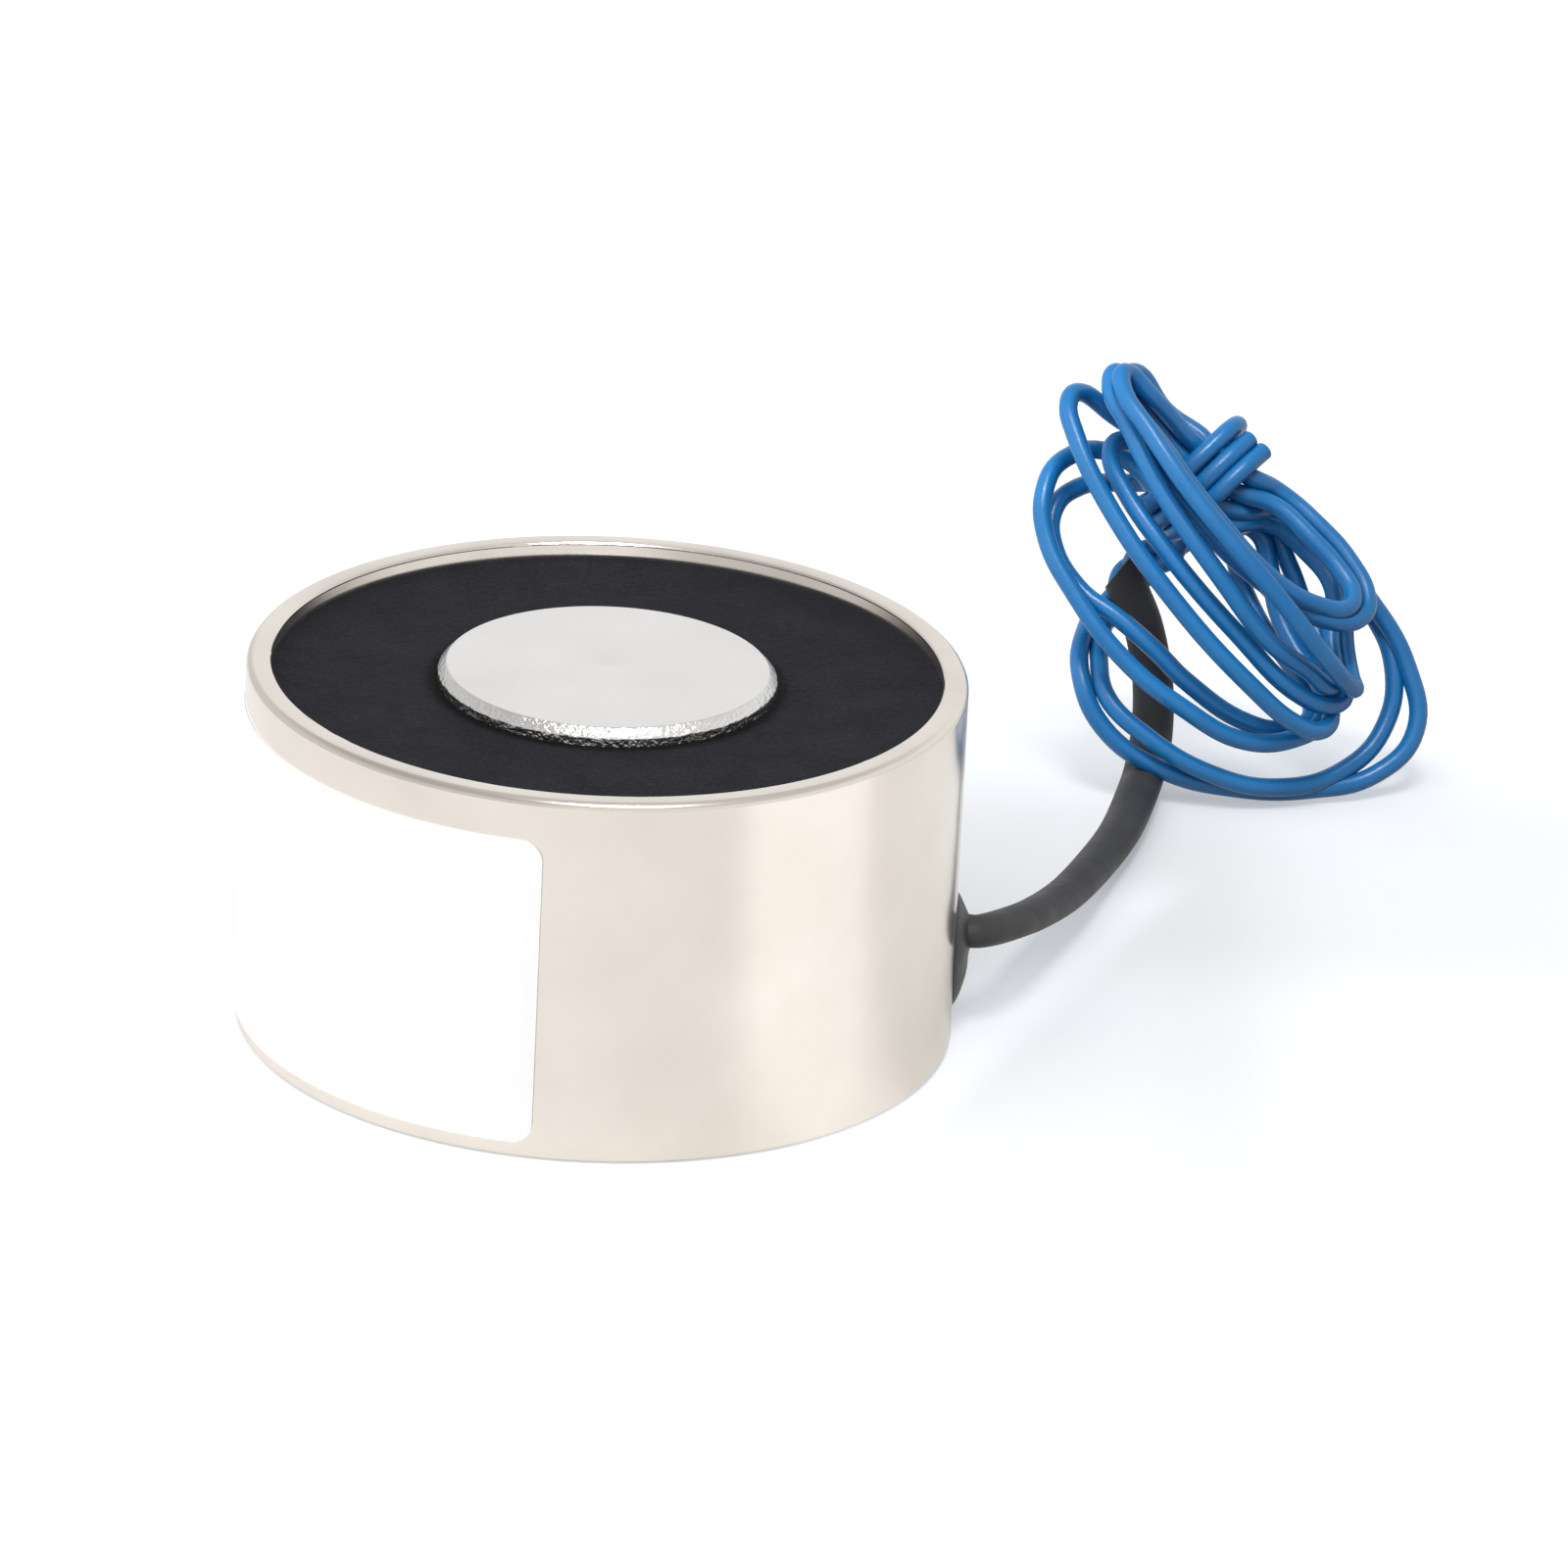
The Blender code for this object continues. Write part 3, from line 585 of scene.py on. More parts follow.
round_corner(pole, POLE_RADIUS - POLE_EDGE_BREAK, HOUSING_HEIGHT, POLE_EDGE_SOFT, 3)
round_corner(pole, POLE_RADIUS, HOUSING_HEIGHT - POLE_EDGE_BREAK, POLE_EDGE_SOFT, 3)
round_corner(pole, THREAD_RADIUS, 0.0, THREAD_LEAD_IN, 1)
turn_section(pole)
shade(pole, 30)
pole.name = "pole"
worn = POLE_RADIUS - POLE_EDGE_BREAK
look = nickel_plate(
    "pole_nickel",
    rings=9000.0,
    depth=0.8e-6,
    rough=(0.20, 0.29),
    light=POLE_LIGHT,
    dark=POLE_DARK,
    worn_beyond=worn,
)
dress(pole, look)
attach(pole, "root")
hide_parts("pole_core")


# Thread
# The fixing hole is tapped M4. One sharp ridge winds up its wall, from the chamfer at its mouth
# to the drill's point.
THREAD_CREST = 0.00165
THREAD_PITCH = 0.0007
THREAD_HALF_ROOT = 0.42 * THREAD_PITCH
THREAD_SINK = 0.00003

bpy.ops.object.select_all(action="DESELECT")
bpy.ops.mesh.primitive_circle_add(vertices=3, radius=1.0, fill_type="NOTHING")
thread = bpy.context.object
ridge = thread.data.vertices
ridge[0].co = (THREAD_CREST, 0.0, THREAD_LEAD_IN)
ridge[1].co = (THREAD_RADIUS + THREAD_SINK, 0.0, THREAD_LEAD_IN - THREAD_HALF_ROOT)
ridge[2].co = (THREAD_RADIUS + THREAD_SINK, 0.0, THREAD_LEAD_IN + THREAD_HALF_ROOT)
thread_turns = int((THREAD_DEPTH - THREAD_LEAD_IN) / THREAD_PITCH)
use_modifier(
    thread,
    "SCREW",
    angle=tau,
    screw_offset=THREAD_PITCH,
    iterations=thread_turns,
    steps=48,
    render_steps=48,
    merge_threshold=WELD,
)
bpy.ops.object.mode_set(mode="EDIT")
bpy.ops.mesh.select_all(action="DESELECT")
bpy.ops.mesh.select_mode(type="EDGE")
bpy.ops.mesh.select_non_manifold()
bpy.ops.mesh.fill()
bpy.ops.mesh.select_all(action="SELECT")
bpy.ops.mesh.normals_make_consistent(inside=False)
bpy.ops.object.mode_set(mode="OBJECT")
bpy.ops.object.shade_smooth_by_angle(angle=radians(40))
thread.name = "fixing_thread"
dress(thread, nickel_plate("thread_nickel", rings=5000.0, depth=0.6e-6, rough=(0.26, 0.35)))
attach(thread, "root")


# Potting
# Black resin poured round the coil. Its dull skin lies just under the rim and creeps a little way
# up the wall. In the crease round the pole, shade is painted into it nearly black.
RESIN_TOP = 0.01718
RESIN_SKIN = 0.0003
RESIN_CREEP = 0.00005
RESIN_CREEP_REACH = 0.00022
RESIN_STEPS = 40
RESIN_CREASE_SHADE = ((0.0082, 0.0088), (0.1, 1.0))
RESIN_LIGHT = (0.0135, 0.0140, 0.0185)
RESIN_DARK = (0.0055, 0.0058, 0.0075)
RESIN_GRAIN = 0.25
RESIN_BUMP = 0.00009

resin = section_plane(POLE_RADIUS, inner_wall, RESIN_TOP - RESIN_SKIN, RESIN_TOP)
for step in range(1, RESIN_STEPS):
    share = (1 - cos(pi * step / RESIN_STEPS)) / 2
    cut(x=POLE_RADIUS + (inner_wall - POLE_RADIUS) * share)
for vert in bmesh.from_edit_mesh(resin.data).verts:
    if vert.co.z > RESIN_TOP - NEAR:
        outward = inner_wall - vert.co.x
        vert.co.z += RESIN_CREEP * exp(-outward / RESIN_CREEP_REACH)
one_face(resin)
turn_section(resin)
shade(resin, 50)
resin.name = "resin_skin"
look, tree, shader = fresh_material("black_resin")
shader.inputs["Specular IOR Level"].default_value = 0.10
tint = add_group(
    tree,
    BLOTCHES,
    Light=(*RESIN_LIGHT, 1.0),
    Dark=(*RESIN_DARK, 1.0),
    Blotch_Scale=420.0,
    Grain_Scale=5200.0,
)
# Painted shade: close to the pole the resin's colour is mixed towards black, where the crease lies in
# shadow.
out_of_crease_shade = ramp(tree, add_group(tree, LATHE_MARKS).outputs["Radius"], *RESIN_CREASE_SHADE)
join(tree, mix(tree, out_of_crease_shade, BLACK, tint.outputs["Color"]), shader.inputs["Base Color"])
add_range(tree, tint.outputs["Grain"], 0.62, 0.80, shader.inputs["Roughness"])
grain = maths(tree, "MULTIPLY", tint.outputs["Grain"], RESIN_GRAIN)
add_bump(tree, shader, maths(tree, "ADD", tint.outputs["Mask"], grain), RESIN_BUMP)
for piece in (resin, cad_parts["potting_compound"]):
    dress(piece, look)
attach(resin, "root")


# Label
# A blank white paper label with rounded corners, cut flat and stuck round the left of the
# wall, close above the foot and short of the rim.
LABEL_WIDTH = 0.030
LABEL_FOOT = 0.0008
LABEL_TOP = 0.0159
LABEL_CORNER = 0.001
LABEL_THICKNESS = 0.0001
LABEL_GLUE = 0.00001
LABEL_RADIUS = HOUSING_RADIUS + LABEL_GLUE
LABEL_RIGHT_EDGE = radians(-98.8)
LABEL_COLUMNS = 90
LABEL_LIGHT = (0.94, 0.94, 0.94)
LABEL_DARK = (0.90, 0.90, 0.905)


def blotched(name, light, dark, scales, rough, depth, metal=0.0):
    """A finish in two blotched colours, with its roughness in the blotches and a bumpy grain."""
    look, tree, shader = fresh_material(name)
    shader.inputs["Metallic"].default_value = metal
    tint = add_group(
        tree,
        BLOTCHES,
        Light=(*light, 1.0),
        Dark=(*dark, 1.0),
        Blotch_Scale=scales[0],
        Grain_Scale=scales[1],
    )
    join(tree, tint.outputs["Color"], shader.inputs["Base Color"])
    add_range(tree, tint.outputs["Mask"], *rough, shader.inputs["Roughness"])
    add_bump(tree, shader, tint.outputs["Grain"], depth)
    return look


label = section_plane(-LABEL_WIDTH / 2, LABEL_WIDTH / 2, LABEL_FOOT, LABEL_TOP)
for x in (-LABEL_WIDTH / 2, LABEL_WIDTH / 2):
    for z in (LABEL_FOOT, LABEL_TOP):
        round_corner(label, x, z, LABEL_CORNER, 8)
for column in range(1, LABEL_COLUMNS):
    cut(x=LABEL_WIDTH * (column / LABEL_COLUMNS - 0.5))
bpy.ops.mesh.select_all(action="SELECT")
bpy.ops.mesh.extrude_region_move(TRANSFORM_OT_translate={"value": (0.0, -LABEL_THICKNESS, 0.0)})
bpy.ops.mesh.select_all(action="SELECT")
bpy.ops.mesh.normals_make_consistent(inside=False)
bpy.ops.object.mode_set(mode="OBJECT")
bend = LABEL_WIDTH / LABEL_RADIUS
use_modifier(label, "SIMPLE_DEFORM", deform_method="BEND", deform_axis="Z", angle=bend)
label.location = (0.0, -LABEL_RADIUS, 0.0)
bpy.ops.object.transform_apply(location=True, rotation=False, scale=False)
label.rotation_euler.z = LABEL_RIGHT_EDGE - bend / 2 + pi / 2
bpy.ops.object.transform_apply(location=False, rotation=True, scale=False)
bpy.ops.object.shade_smooth_by_angle(angle=radians(30))
label.name = "blank_label"
look = blotched(
    "label_paper", LABEL_LIGHT, LABEL_DARK, scales=(300.0, 9000.0), rough=(0.42, 0.52), depth=4e-6
)
dress(label, look)
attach(label, "root")
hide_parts("rating_label")


# Sealant
# A dab of black sealant pressed into the lead's hole, which it fills. It is smeared up and down
# the wall, and stands up in a low collar round the lead.
BEAD_HEIGHT = 0.0058
BEAD_WIDTH = 0.0046
BEAD_BULGE = 0.0007
BEAD_DROP = 0.0008
BEAD_WAVE = 0.00016
BEAD_WAVE_SIZE = 0.0016
BEAD_OFF_WALL = 0.00002
PLUG_PLAY = 0.00005
COLLAR_REACH = 0.0015
COLLAR_RISE = 0.0005
SEALANT_LIGHT = (0.060, 0.060, 0.062)
SEALANT_DARK = (0.028, 0.028, 0.030)

exit_out = Vector((cos(EXIT_AZIMUTH), sin(EXIT_AZIMUTH), 0.0))
sink = HOUSING_WALL / 2
reach = sink + BEAD_BULGE
spread = 1 / sqrt(1 - (sink / reach) ** 2)
bpy.ops.object.select_all(action="DESELECT")
bpy.ops.mesh.primitive_uv_sphere_add(
    segments=64,
    ring_count=40,
    radius=1.0,
    location=exit_out * (HOUSING_RADIUS - sink) + Vector((0.0, 0.0, EXIT_HEIGHT - BEAD_DROP)),
    rotation=(0.0, 0.0, EXIT_AZIMUTH),
)
bead = bpy.context.object
bead.scale = (reach, spread * BEAD_WIDTH / 2, spread * BEAD_HEIGHT / 2)
bpy.ops.object.transform_apply(location=True, rotation=True, scale=True)
waves = bpy.data.textures.new("bead_waves", "CLOUDS")
waves.noise_scale = BEAD_WAVE_SIZE
use_modifier(bead, "DISPLACE", texture=waves, texture_coords="LOCAL", strength=BEAD_WAVE, mid_level=0.5)
for vert in bead.data.vertices:
    from_axis = vert.co - exit_out * vert.co.dot(exit_out) - Vector((0.0, 0.0, EXIT_HEIGHT))
    closeness = max(0.0, 1 - from_axis.length / COLLAR_REACH)
    vert.co += exit_out * COLLAR_RISE * closeness ** 2
bpy.ops.object.select_all(action="DESELECT")
bpy.ops.mesh.primitive_cylinder_add(
    vertices=TURNED_STEPS,
    radius=HOUSING_RADIUS + BEAD_OFF_WALL,
    depth=2 * HOUSING_HEIGHT,
    location=(0.0, 0.0, 0.0),
)
combine(bead, bpy.context.object, "DIFFERENCE")
plug_radius = EXIT_HOLE_DIAMETER / 2 - PLUG_PLAY
plug = radial_rod(plug_radius, inner_wall, HOUSING_RADIUS + BEAD_BULGE / 3)
combine(bead, plug, "UNION")
shade(bead, 60)
bead.name = "sealant"
look = blotched(
    "black_sealant", SEALANT_LIGHT, SEALANT_DARK, scales=(700.0, 6000.0), rough=(0.30, 0.5), depth=2e-5
)
dress(bead, look)
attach(bead, "root")
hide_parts("exit_bead")


# Sleeve
# Soft black sleeving over both wires, pressed flat, from the sealant down to the surface,
# along it and up to the skein, where it was cut off at a slant.
SLEEVE_ROUTE = (
    (0.0173, 0.0012, 0.0048),
    (0.0182, 0.0014, 0.0047),
    (0.0196, 0.0036, 0.0042),
    (0.0211, 0.0080, 0.0030),
    (0.0227, 0.0130, 0.0020),
    (0.0243, 0.0190, 0.0012),
    (0.0255, 0.0236, 0.00095),
    (0.0264, 0.0284, 0.00095),
    (0.0269, 0.0316, 0.0012),
    (0.0272, 0.0339, 0.0024),
    (0.0271, 0.0352, 0.0045),
    (0.0265, 0.0362, 0.0069),
    (0.0255, 0.0368, 0.0089),
)
SLEEVE_WIDTH = 0.0021
SLEEVE_THICKNESS = 0.0015
SLEEVE_WALL = 0.00022
SLEEVE_SIDES = 28
SLEEVE_FLAT_END = Vector((0.75, 0.25, -0.1))
SLEEVE_SPARE = 0.0022
SLEEVE_CUT = Vector((0.02500, 0.03690, 0.00910))
SLEEVE_CUT_FACING = -0.76 * camera_right + 0.65 * camera_up
SLEEVE_LIGHT = (0.040, 0.039, 0.040)
SLEEVE_DARK = (0.022, 0.0215, 0.022)
ROUTE_STEPS = 8


def smooth_route(points):
    """A smooth curve through a route's own points, with some steps from each to the next."""
    knots = [Vector(p) for p in points]
    dense = []
    for i in range(len(knots) - 1):
        before = knots[max(i - 1, 0)]
        here, there = knots[i], knots[i + 1]
        after = knots[min(i + 2, len(knots) - 1)]
        for step in range(ROUTE_STEPS):
            t = step / ROUTE_STEPS
            pull = (there - before) * t + (before * 2 - here * 5 + there * 4 - after) * t**2
            dense.append((here * 2 + pull + (here * 3 - before - there * 3 + after) * t**3) / 2)
    dense.append(knots[-1])
    return dense


sleeve_path = smooth_route(SLEEVE_ROUTE)
sleeve_path.append(sleeve_path[-1] + (sleeve_path[-1] - sleeve_path[-2]).normalized() * SLEEVE_SPARE)
steps = len(sleeve_path) - 1
bpy.ops.object.select_all(action="DESELECT")
bpy.ops.mesh.primitive_cylinder_add(
    vertices=SLEEVE_SIDES,
    radius=1.0,
    depth=steps,
    end_fill_type="NOTHING",
    location=(0.0, 0.0, steps / 2),
)
sleeve = bpy.context.object
sleeve.name = "sleeve"
bpy.ops.object.transform_apply(location=True, rotation=True, scale=True)
bpy.ops.object.mode_set(mode="EDIT")
for step in range(1, steps):
    cut(z=step)
for vert in bmesh.from_edit_mesh(sleeve.data).verts:
    index = round(vert.co.z)
    run = (sleeve_path[min(index + 1, steps)] - sleeve_path[max(index - 1, 0)]).normalized()
    flat = Vector((0.0, 0.0, 1.0)).cross(run).lerp(-SLEEVE_FLAT_END, (index / steps) ** 3)
    wide = (flat - run * flat.dot(run)).normalized()
    thin = run.cross(wide)
    spot = wide * vert.co.x * SLEEVE_WIDTH / 2 + thin * vert.co.y * SLEEVE_THICKNESS / 2
    vert.co = sleeve_path[index] + spot
bpy.ops.mesh.select_all(action="SELECT")
bpy.ops.mesh.bisect(plane_co=SLEEVE_CUT, plane_no=SLEEVE_CUT_FACING, clear_outer=True)
bpy.ops.mesh.select_all(action="SELECT")
bpy.ops.mesh.normals_make_consistent(inside=False)
bpy.ops.object.mode_set(mode="OBJECT")
sleeve_path = [p for p in sleeve_path if (p - SLEEVE_CUT).dot(SLEEVE_CUT_FACING) < 0]
use_modifier(sleeve, "SOLIDIFY", thickness=SLEEVE_WALL, offset=-1.0)
bpy.ops.object.shade_smooth_by_angle(angle=radians(50))
look = blotched(
    "black_sleeving", SLEEVE_LIGHT, SLEEVE_DARK, scales=(500.0, 3000.0), rough=(0.52, 0.66), depth=2e-5
)
dress(sleeve, look)
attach(sleeve, "root")
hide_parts("lead_sleeve")


# Blue wires
# Two thin stranded wires in blue plastic. They come out of the sleeve side by side, make five
# turns each through the tie, and their ends are wound round it and cut off.
# Places along a turn are across, up and near in millimetres, seen from the camera, from the tie.
WIRE_DIAMETER = 0.00094
STRAND_PITCH = 0.001
TIE = Vector((0.0303, 0.0365, 0.0150))
TIE_AXIS = Vector((0.79, -0.244, -0.563)).normalized()
TIE_FRONT = Vector((-0.013, -0.924, 0.382)).normalized()
TIE_SIDE = TIE_AXIS.cross(TIE_FRONT).normalized()
TIE_LEAN = 0.25
TIE_HALF = 0.0011
TIE_SHIFT = 0.0012
OUT_OF_SLEEVE = (
    (-5.1, -5.8, -2.5), (-5.15, -5.0, -2.6), (-4.7, -4.3, -2.9), (-3.8, -4.05, -3.2),
    (-2.8, -4.1, -3.0), (-2.0, -3.0, -2.3),
)
TURNS = {
    "a": (
        (
            (4.5, -3.4, -1.7), (6.9, -6.1, -1.9), (8.9, -9.6, -1.8), (9.3, -12.8, -1.4),
            (7.4, -14.9, -0.9), (4.1, -15.7, -0.1), (0.1, -15.6, 0.5), (-3.3, -14.7, 1.1),
            (-6.2, -12.6, 1.5), (-7.3, -10.0, 1.2), (-7.1, -7.9, -0.6), (-6.0, -6.4, -3.4),
            (-4.2, -4.4, -4.2), (-2.8, -2.1, -3.3),
        ),
        (
            (1.1, -4.7, -1.9), (3.6, -7.7, -1.4), (4.8, -10.5, -0.7), (4.7, -12.2, 0.5),
            (3.5, -13.1, 1.7), (0.9, -13.3, 2.6), (-2.3, -11.6, 3.3), (-5.2, -9.2, 3.4),
            (-7.6, -6.0, 3.0), (-9.0, -3.2, 2.4), (-9.1, -0.9, 1.8), (-8.1, 0.7, 0.6),
            (-5.5, 0.9, -1.2),
        ),
        (
            (1.4, -2.9, -1.4), (2.1, -4.8, -1.7), (2.45, -6.8, -1.5), (3.3, -8.7, -0.8),
            (4.5, -10.4, 0.0), (5.1, -12.2, 1.4), (4.5, -12.8, 2.4), (3.3, -12.4, 3.4),
            (1.3, -10.7, 4.4), (-2.6, -6.4, 5.0), (-6.1, -1.3, 4.3), (-7.6, 2.0, 3.4),
            (-7.9, 3.4, 2.6), (-7.5, 4.0, 1.8), (-5.7, 2.9, 0.3), (-4.0, 1.5, -0.3),
        ),
        (
            (2.2, -2.6, -1.0), (3.9, -3.9, -1.3), (5.2, -5.7, -0.8), (5.1, -8.2, 0.2),
            (5.3, -10.0, 1.3), (5.0, -10.6, 2.4), (4.0, -9.8, 3.4), (2.1, -8.4, 4.6),
            (-0.2, -5.4, 5.6), (-3.4, -0.7, 5.2), (-5.0, 2.5, 4.3), (-5.8, 4.2, 3.2),
            (-5.5, 5.0, 2.4), (-4.0, 3.2, 1.5),
        ),
        (
            (2.3, -1.6, 0.6), (4.1, -3.2, 0.9), (5.6, -4.9, 1.2), (6.2, -6.0, 1.8),
            (5.9, -6.7, 2.7), (4.6, -6.6, 3.7), (2.4, -5.4, 4.9), (-0.6, -2.2, 5.3),
            (-3.6, 1.8, 4.5), (-5.0, 3.7, 2.6), (-4.7, 4.3, 1.2), (-3.4, 2.6, 0.4),
        ),
    ),
    "b": (
        (
            (4.7, -4.1, -2.6), (7.1, -6.9, -2.6), (8.2, -9.6, -2.1), (7.8, -12.5, -1.6),
            (5.8, -14.7, -0.5), (2.4, -15.6, 0.9), (-0.9, -14.9, 1.6), (-4.1, -13.0, 1.9),
            (-6.0, -11.1, 1.5), (-6.4, -9.2, 0.4), (-6.2, -7.7, -2.2), (-5.0, -6.2, -4.6),
            (-3.6, -4.6, -4.9), (-2.2, -2.4, -4.0),
        ),
        (
            (0.5, -4.9, -2.8), (1.6, -7.4, -2.6), (3.5, -10.2, -1.8), (4.1, -12.1, -0.5),
            (2.9, -12.7, 0.5), (1.0, -12.4, 1.4), (-2.1, -10.3, 2.4), (-3.7, -8.7, 2.7),
            (-5.3, -7.3, 2.6), (-7.4, -5.7, 2.1), (-8.7, -3.3, 1.4), (-8.6, -1.8, 0.9),
            (-7.6, -0.8, -0.1), (-5.0, -0.5, -2.4),
        ),
        (
            (2.1, -2.8, -2.0), (3.05, -4.6, -2.2), (3.8, -6.6, -1.9), (4.8, -8.8, -1.0),
            (5.8, -10.7, 0.2), (5.3, -11.5, 1.7), (3.7, -11.1, 2.9), (0.4, -7.9, 4.2),
            (-3.1, -3.8, 4.3), (-5.1, -0.9, 3.3), (-5.8, 0.8, 2.1), (-5.4, 1.6, 0.9),
            (-3.6, 0.9, -0.8),
        ),
        (
            (2.8, -2.2, -1.8), (4.9, -3.6, -2.1), (5.8, -5.8, -1.6), (5.8, -8.2, -0.5),
            (6.1, -10.1, 0.9), (6.3, -10.7, 1.9), (5.9, -10.4, 3.1), (4.9, -9.2, 4.6),
            (2.3, -5.9, 6.2), (-1.7, -1.1, 6.5), (-3.9, 2.1, 5.7), (-5.2, 4.2, 4.4),
            (-5.1, 5.0, 3.5), (-3.7, 3.7, 2.6),
        ),
        (
            (2.5, -0.9, -0.1), (4.5, -2.6, 0.0), (6.0, -4.3, 0.3), (6.9, -6.1, 0.9),
            (6.7, -7.1, 1.7), (4.9, -7.3, 3.2), (2.2, -5.8, 4.0), (-1.6, -2.2, 4.2),
            (-4.5, 2.0, 3.0), (-5.0, 4.1, 1.2), (-4.6, 5.0, 0.1), (-3.2, 3.2, -0.5),
        ),
    ),
}
PASSES = ((0, 0), (0, 2), (1, 2), (2, 2), (2, 0), (1, 0))
ROW_PITCH = 0.87 * STRAND_PITCH
WRAP_TURNS = (1.55, 0.62)
WRAP_STEPS = 8
WRAP_WIDTH = 0.0031
WRAP_DEPTH = 0.0020
WRAP_SHIFT = 0.00095
WRAP_ADVANCE = 0.0019
WRAP_START = radians(200)
WRAP_BEGIN = -0.0022
BLUE_LIGHT = (0.010, 0.190, 0.485)
BLUE_DARK = (0.004, 0.115, 0.330)
COPPER_AROUND = 6
COPPER_STRAND = 0.00017
COPPER_LENGTH = 0.00018
COPPER_LIGHT = (0.80, 0.42, 0.22)
COPPER_DARK = (0.60, 0.28, 0.13)


def seen_place(spot):
    """A place that the camera sees some millimetres across and up from the tie, and nearer."""
    across, up, near = (value / 1000 for value in spot)
    place = TIE + camera_right * across + camera_up * up
    return place + (CAMERA_PLACE - place).normalized() * near


def lane(passage, wire):
    """Where a strand lies in the tie: in rows from back to front, and side by side in a row."""
    row, column = PASSES[passage]
    side = (column - wire - 0.5) * STRAND_PITCH + TIE_SHIFT
    return TIE + TIE_SIDE * side + TIE_FRONT * (row - 1) * ROW_PITCH


def wire_route(label, wire):
    """All the points of one wire, from inside the sleeve to its cut end."""
    beside = TIE_SIDE * (0.5 - wire) * STRAND_PITCH
    through = (TIE_AXIS - TIE_SIDE * TIE_LEAN).normalized() * TIE_HALF
    points = [seen_place(spot) + beside for spot in OUT_OF_SLEEVE]
    for number, places in enumerate(TURNS[label]):
        points += [lane(number, wire) - through, lane(number, wire) + through]
        points += [seen_place(spot) for spot in places]
    points.append(lane(len(TURNS[label]), wire) - through)
    for step in range(int(WRAP_TURNS[wire] * WRAP_STEPS) + 1):
        wound = step / WRAP_STEPS
        angle = WRAP_START - tau * wound
        advance = WRAP_BEGIN + wire * STRAND_PITCH + WRAP_ADVANCE * wound
        across = TIE_SIDE * (WRAP_SHIFT - WRAP_WIDTH * cos(angle))
        points.append(TIE + TIE_AXIS * advance + (across + TIE_FRONT * WRAP_DEPTH * sin(angle)))
    return points


BLUE = blotched(
    "blue_insulation", BLUE_LIGHT, BLUE_DARK, scales=(260.0, 5000.0), rough=(0.26, 0.40), depth=1.2e-5
)

COPPER, tree, shader = fresh_material("cut_copper")
shader.inputs["Metallic"].default_value = 1.0
shader.inputs["Roughness"].default_value = 0.35
tint = add_group(
    tree,
    BLOTCHES,
    Light=(*COPPER_LIGHT, 1.0),
    Dark=(*COPPER_DARK, 1.0),
    Blotch_Scale=2500.0,
    Grain_Scale=9000.0,
)
join(tree, tint.outputs["Color"], shader.inputs["Base Color"])

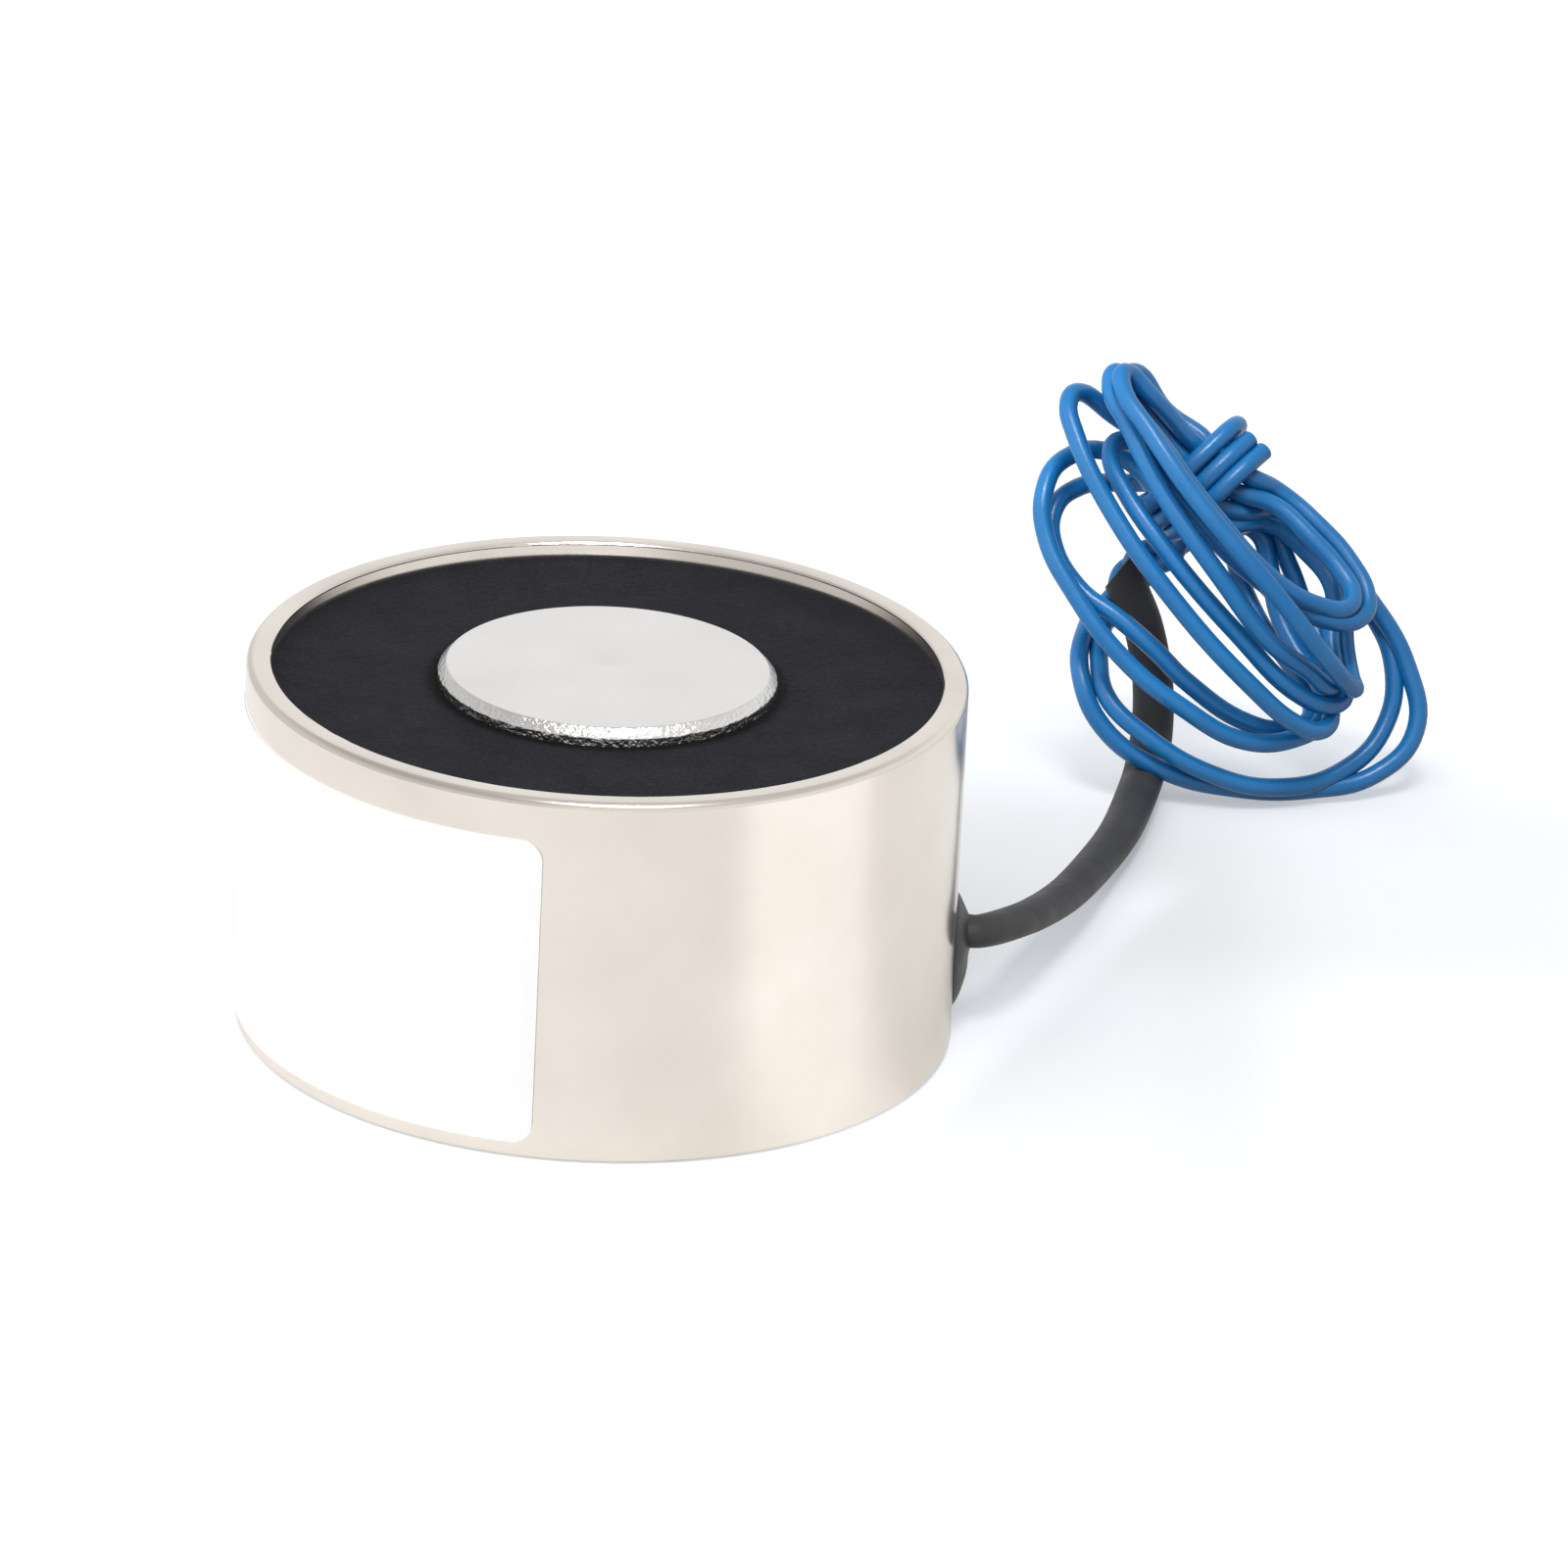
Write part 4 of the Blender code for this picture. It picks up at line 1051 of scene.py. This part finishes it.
for wire, label in enumerate(TURNS):
    points = wire_route(label, wire)
    curve = bpy.data.curves.new(f"blue_wire_{label}", "CURVE")
    curve.dimensions = "3D"
    curve.bevel_depth = WIRE_DIAMETER / 2
    curve.bevel_resolution = 5
    curve.resolution_u = 8
    curve.use_fill_caps = True
    spline = curve.splines.new("BEZIER")
    spline.bezier_points.add(len(points) - 1)
    for knot, point in zip(spline.bezier_points, points):
        knot.co = point
        knot.handle_left_type = "AUTO"
        knot.handle_right_type = "AUTO"
    curve.materials.append(BLUE)
    tube = bpy.data.objects.new(f"blue_wire_{label}", curve)
    bpy.context.scene.collection.objects.link(tube)
    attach(tube, "root")
    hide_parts(f"blue_lead_{label}", "lead_coil")
    end_run = (points[-1] - points[-2]).normalized()
    out = end_run.orthogonal().normalized() * COPPER_STRAND
    spots = [points[-1]]
    for number in range(COPPER_AROUND):
        spots.append(points[-1] + Matrix.Rotation(tau * number / COPPER_AROUND, 3, end_run) @ out)
    bpy.ops.object.select_all(action="DESELECT")
    made_strands = []
    for spot in spots:
        bpy.ops.mesh.primitive_cylinder_add(
            vertices=16,
            radius=COPPER_STRAND / 2,
            depth=COPPER_LENGTH,
            location=spot,
            rotation=end_run.to_track_quat("Z", "Y").to_euler(),
        )
        bpy.context.object.name = f"copper_strand_{label}"
        made_strands.append(bpy.context.object)
    bpy.ops.object.select_all(action="DESELECT")
    for strand in made_strands:
        strand.select_set(True)
    bpy.context.view_layer.objects.active = made_strands[0]
    bpy.ops.object.join()
    bpy.ops.object.transform_apply(location=True, rotation=True, scale=True)
    copper = bpy.context.object
    copper.name = f"cut_end_{label}"
    dress(copper, COPPER)
    bpy.ops.object.shade_smooth_by_angle(angle=radians(40))
    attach(copper, "root")


# Inner pieces
# Bobbin, winding, tape and soldered joints sit closed inside the pot, and get a plain finish.
# Each has two colours, its roughness, its share of metal, its scale and its solids.
INNER_GRAIN = 9
INNER_ROUGH = 0.06
INNER_BUMP = 1e-5
INNER_LOOKS = {
    "natural_nylon": ((0.80, 0.78, 0.70), (0.72, 0.70, 0.62), 0.45, 0.0, 400.0, ("coil_bobbin",)),
    "enamelled_copper": (
        (0.72, 0.34, 0.15),
        (0.55, 0.22, 0.09),
        0.32,
        1.0,
        900.0,
        ("coil_winding", "copper_tail_a", "copper_tail_b"),
    ),
    "polyester_tape": ((0.86, 0.70, 0.16), (0.74, 0.58, 0.10), 0.35, 0.0, 300.0, ("winding_tape",)),
    "soft_solder": (
        (0.66, 0.66, 0.67),
        (0.50, 0.50, 0.52),
        0.34,
        1.0,
        1500.0,
        ("solder_joint_a", "solder_joint_b"),
    ),
    "joint_sleeving": (
        (0.05, 0.05, 0.052),
        (0.03, 0.03, 0.032),
        0.5,
        0.0,
        900.0,
        ("joint_sleeve_a", "joint_sleeve_b"),
    ),
}
for name, (light, dark, rough, metal, scale, nodes) in INNER_LOOKS.items():
    scales = (scale, scale * INNER_GRAIN)
    roughness = (rough - INNER_ROUGH, rough + INNER_ROUGH)
    look = blotched(name, light, dark, scales, roughness, INNER_BUMP, metal)
    for node in nodes:
        dress(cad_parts[node], look)
for node in ("blue_root_a", "blue_root_b"):
    dress(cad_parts[node], BLUE)
